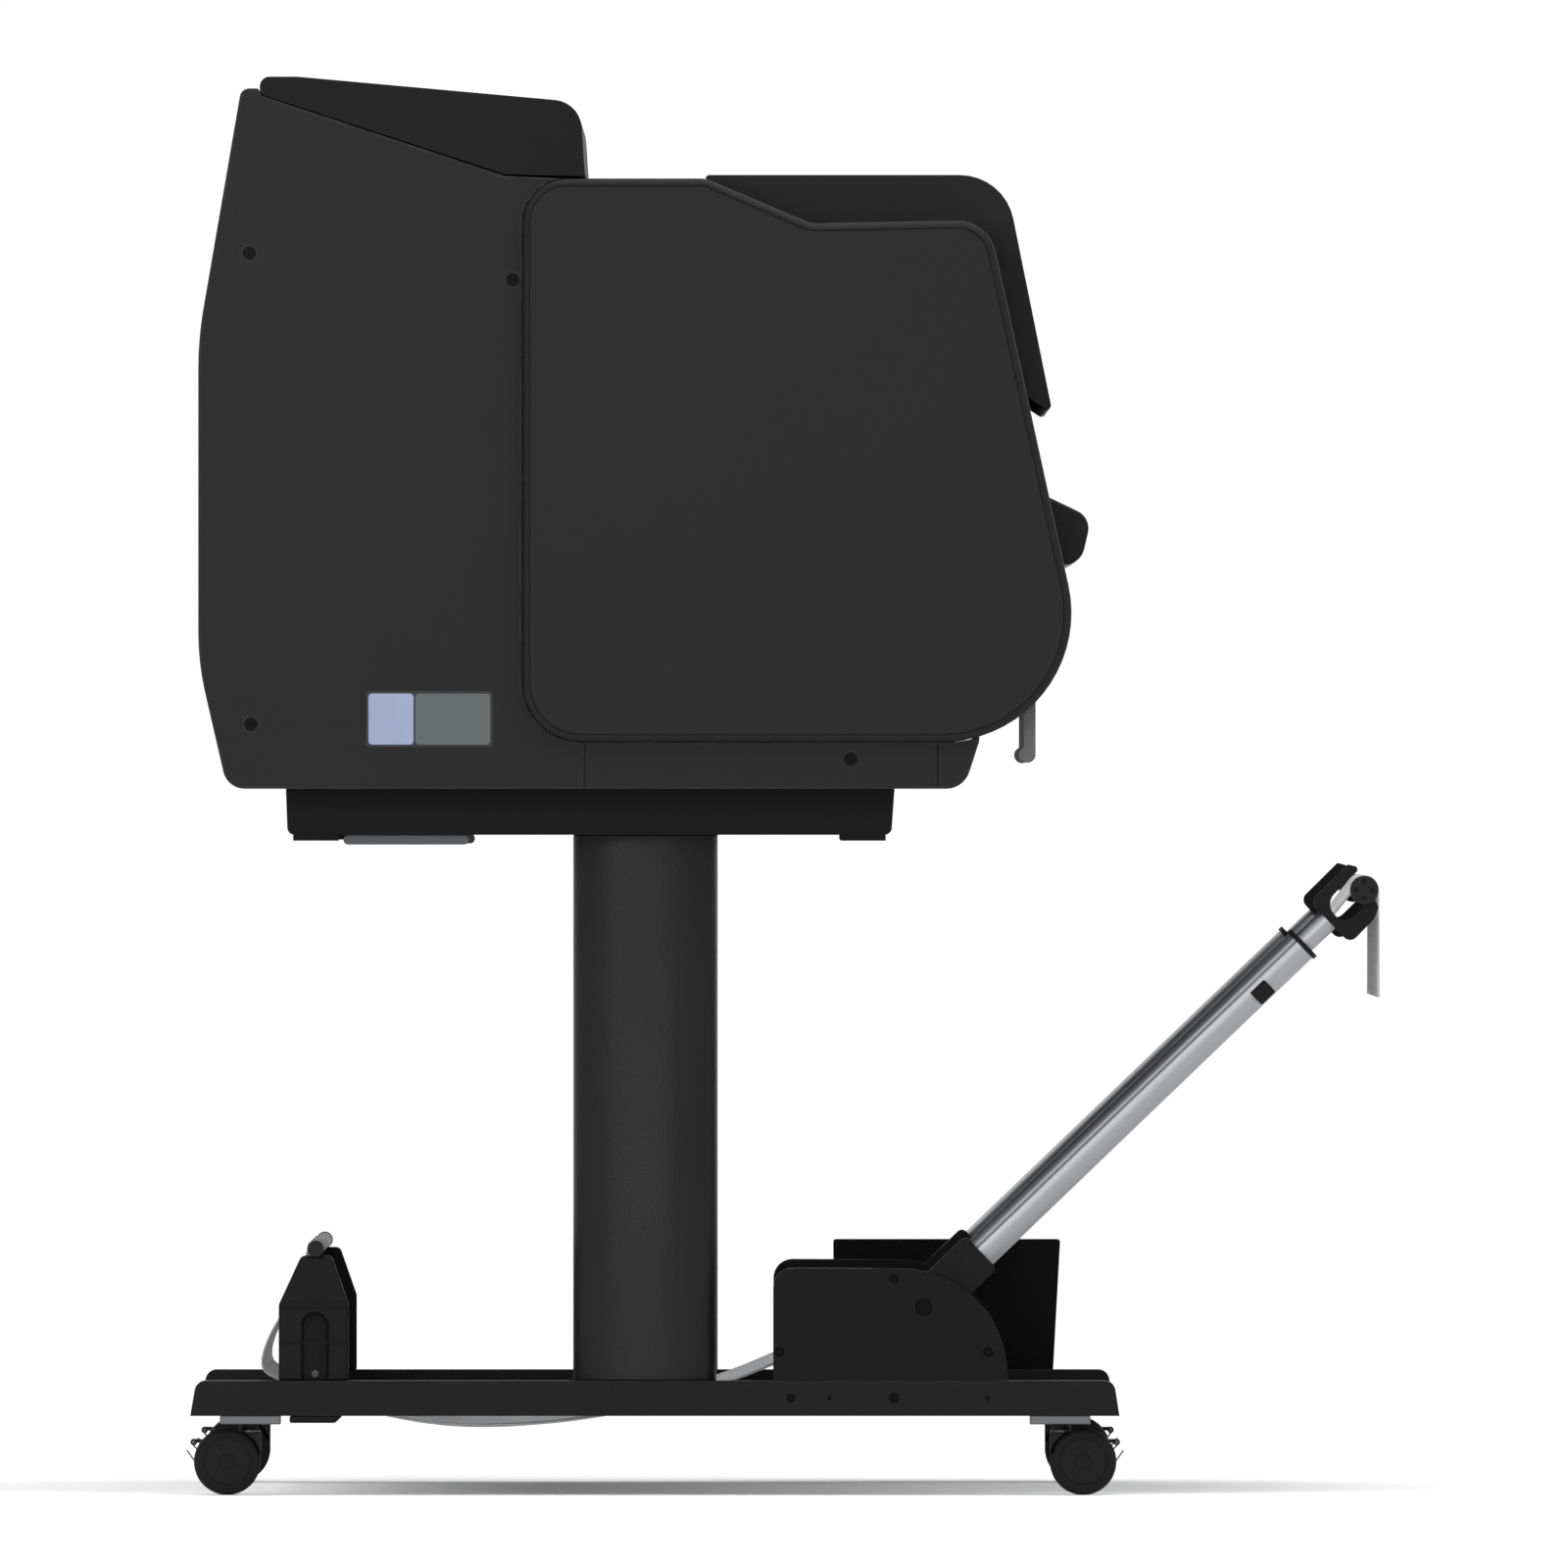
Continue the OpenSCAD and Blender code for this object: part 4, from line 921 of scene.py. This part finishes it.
PANEL_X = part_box("side_panel_right")[1][0]
for name, y, x, material in (("ground", (0.242, 0.346), (0.0, 0.0003), LABEL_DARK),
                             ("pale", (0.307, 0.344), (0.0003, 0.0005), LABEL_PALE),
                             ("slate", (0.244, 0.3055), (0.0003, 0.0005), LABEL_SLATE)):
    edge = 0.0 if name == "ground" else 0.002
    field = plate(y, (0.616 + edge, 0.662 - edge), 0.003, PANEL_X + np.array(x))
    piece_of("side_label_" + name, [mirrored(field)], material, "stand")
print("a blank sticker of three fields on the left side")

# %% Painted shade of the groove round each end cover
def rim_of(node):
    """The outline of a node's outer face in y and z, sorted by the angle round its middle."""
    mesh = frame["nodes"][node].data
    places = np.empty(len(mesh.vertices) * 3)
    mesh.vertices.foreach_get("co", places)
    places = places.reshape(-1, 3)
    face = np.abs(places[:, 0]) > np.abs(places[:, 0]).max() - 1e-5
    outline = np.unique(places[face][:, 1:].round(5), axis=0)
    spokes = outline - outline.mean(0)
    return outline[np.argsort(np.arctan2(spokes[:, 1], spokes[:, 0]))]


def inset_by(outline, distance):
    """Each point moved inwards across the line through its two neighbours."""
    chord = np.roll(outline, -1, axis=0) - np.roll(outline, 1, axis=0)
    inward = np.stack([-chord[:, 1], chord[:, 0]], -1) / np.linalg.norm(chord, axis=1)[:, None]
    return outline + inward * distance


BOTH = (-1.0, 1.0)                     # the two ends of the machine
GROOVE = (0.0052, 0.0068)              # from the cover's edge, just inside its rounded rim; the band painted dark as the groove's shade
end_rim = rim_of("end_cover_left")
outer, inner = (inset_by(end_rim, distance) for distance in GROOVE)
END_FACE = np.abs(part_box("end_cover_left")[0][0])
# No groove is cut: a thin dark strip just off the cover's face paints the shade inside it.
groove_shade_strips = [np.concatenate([extruded(outer, way * (END_FACE + np.array([-0.0003, 0.0001]))),
                           extruded(inner, way * (END_FACE + np.array([0.0001, -0.0003]))),
                           extruded(outer, [way * (END_FACE - 0.0003)])]) for way in BOTH]
piece_of("end_cover_grooves", groove_shade_strips, POCKET_BLACK_AND_GAP_SHADE, "stand")
print("grooves follow", len(end_rim), "points")

# %% Painted shade of the seams in the side panels
SEAM_Y = (0.1659, -0.1240)
SEAM_TOP = 0.6180                      # where the end cover hides them
SEAM_HALF = 0.0005                     # half a seam's width
seam_z = (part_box("side_panel_right")[0][2] + 0.002, SEAM_TOP)
seam_x = PANEL_X + np.array([0.0, 0.0002])
# Thin dark strips on the panel's face paint the shade in the seams between its parts.
seams = [plate((y - SEAM_HALF, y + SEAM_HALF), seam_z, 0.0002, way * seam_x)
         for way in BOTH for y in SEAM_Y]
piece_of("panel_seams", seams, POCKET_BLACK_AND_GAP_SHADE, "stand")
print(len(seams), "seams")

# %% Ink bands
TANK_X, TANK_PITCH, TANK_W = 0.576, 0.033, 0.028
BAND_Z = (0.872, 0.992)
band_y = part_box("ink_tanks")[0][1] + np.array([-0.0005, 0.0004])
INKS = {"cyan": (0.02, 0.30, 0.52), "magenta": (0.50, 0.03, 0.20), "yellow": (0.72, 0.55, 0.03),
        "black": (0.010, 0.010, 0.011), "grey": (0.16, 0.16, 0.165), "photo": (0.05, 0.05, 0.055)}
for count, (ink, shade) in enumerate(INKS.items()):
    side, place = 1.0 if count < 3 else -1.0, count % 3
    x = TANK_X + place * TANK_PITCH + np.array([0.003, TANK_W - 0.003])
    band = extruded(round_rect(band_y, BAND_Z, 0.0003, 2), x * side)
    tint = plastic("band_" + ink, shade, 0.4, depth=0.02, wear_and_rim_highlight=0.0, specular=0.3)
    piece_of("ink_band_" + ink, [band], tint, "stand")
print(len(INKS), "ink bands")

# %% [markdown]
# ## Small hardware
# The stand has a bright bracket under each end of the tray, a raised band round each tower, and
# screws in the rails. The operation panel has a glass screen in its recess and a row of keys in
# front of it. The panel leans, so its pieces are made flat and then leaned with it.

# %% Stand hardware
BRACKET_X, BRACKET_Y, BRACKET_Z = np.array([0.525, 0.612]), (0.262, 0.365), (0.5357, 0.5437)
brackets = [plate(BRACKET_Y, BRACKET_Z, 0.0036, way * BRACKET_X) for way in BOTH]
piece_of("tray_brackets", brackets, BRACKET, "stand", rounding=0.0006)
RIDGE_X, RIDGE_Y = np.array([0.5848, 0.5860]), (0.3617, 0.4177)
RIDGES_Z = ((0.1546, 0.1590), (0.1251, 0.1261))
ridges = [plate(RIDGE_Y, z, 0.0005, way * RIDGE_X) for way in BOTH for z in RIDGES_Z]
piece_of("tower_ridges", ridges, HUB_BLACK, "stand", rounding=0.0002)
HEAD = np.array([(0.0, 0.0), (0.0, 3.2), (0.9, 3.2), (1.5, 2.4), (1.5, 1.2), (0.8, 1.0), (0.8, 0.0)]) * MM
SCREW_AT = (0.575, 0.3886, 0.0997)     # at the right end; the left one mirrors it
heads = [turned(HEAD * (way, 1.0), (way * SCREW_AT[0], *SCREW_AT[1:]), segments=24) for way in BOTH]
RAIL_FACE, RIVET_Z, RIVETS_Y = 0.590, 0.080, (-0.0347, -0.165)
rivets = [turned(HEAD * (way * 0.3, 0.6), (way * RAIL_FACE, y, RIVET_Z), segments=24)
          for way in BOTH for y in RIVETS_Y]
piece_of("stand_screw_heads", heads, BRACKET, "stand")
piece_of("rail_rivets", rivets, SCREW_BLACK, "stand")
print(len(brackets), "brackets,", len(ridges), "ridges,", len(heads), "screw heads,", len(rivets), "rivets")

# %% Operation panel
panel_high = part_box("operation_panel")[1]
PANEL_RISE, PANEL_RUN = 0.018, 0.118   # the top face rises by this over this depth
LEAN = np.arctan2(PANEL_RISE, PANEL_RUN)


def leaned(points, y):
    """Flat points, with z counted from the panel's face, leaned about X and set at depth y."""
    turn = np.array([[1, 0, 0], [0, np.cos(LEAN), -np.sin(LEAN)], [0, np.sin(LEAN), np.cos(LEAN)]])
    top = panel_high[2] - (panel_high[1] - y) * PANEL_RISE / PANEL_RUN
    return points @ turn.T + np.array([0.0, y, top])


SCREEN_HALF, SCREEN_DEEP, SCREEN_X = 0.0285, (-0.0012, -0.0004), (0.5905, 0.6715)
SCREEN_Y, KEYS_Y, KEYS_X = -0.093, -0.1385, (0.596, 0.610, 0.624)
glass = extruded(round_rect((-SCREEN_HALF, SCREEN_HALF), SCREEN_DEEP, 0.0003, 2), SCREEN_X)
piece_of("panel_screen", [leaned(glass, SCREEN_Y)], SCREEN, "stand", rounding=0.0003)
KEY = np.array([(0.0, 0.0), (0.0, 4.2), (0.5, 4.2), (0.9, 3.6), (1.0, 0.0)]) * MM
keys = [leaned(turned(KEY, (x, 0.0, 0.0), axis=2, segments=28), KEYS_Y) for x in KEYS_X]
piece_of("panel_keys", keys, GREY, "stand")
print("screen and", len(keys), "keys")
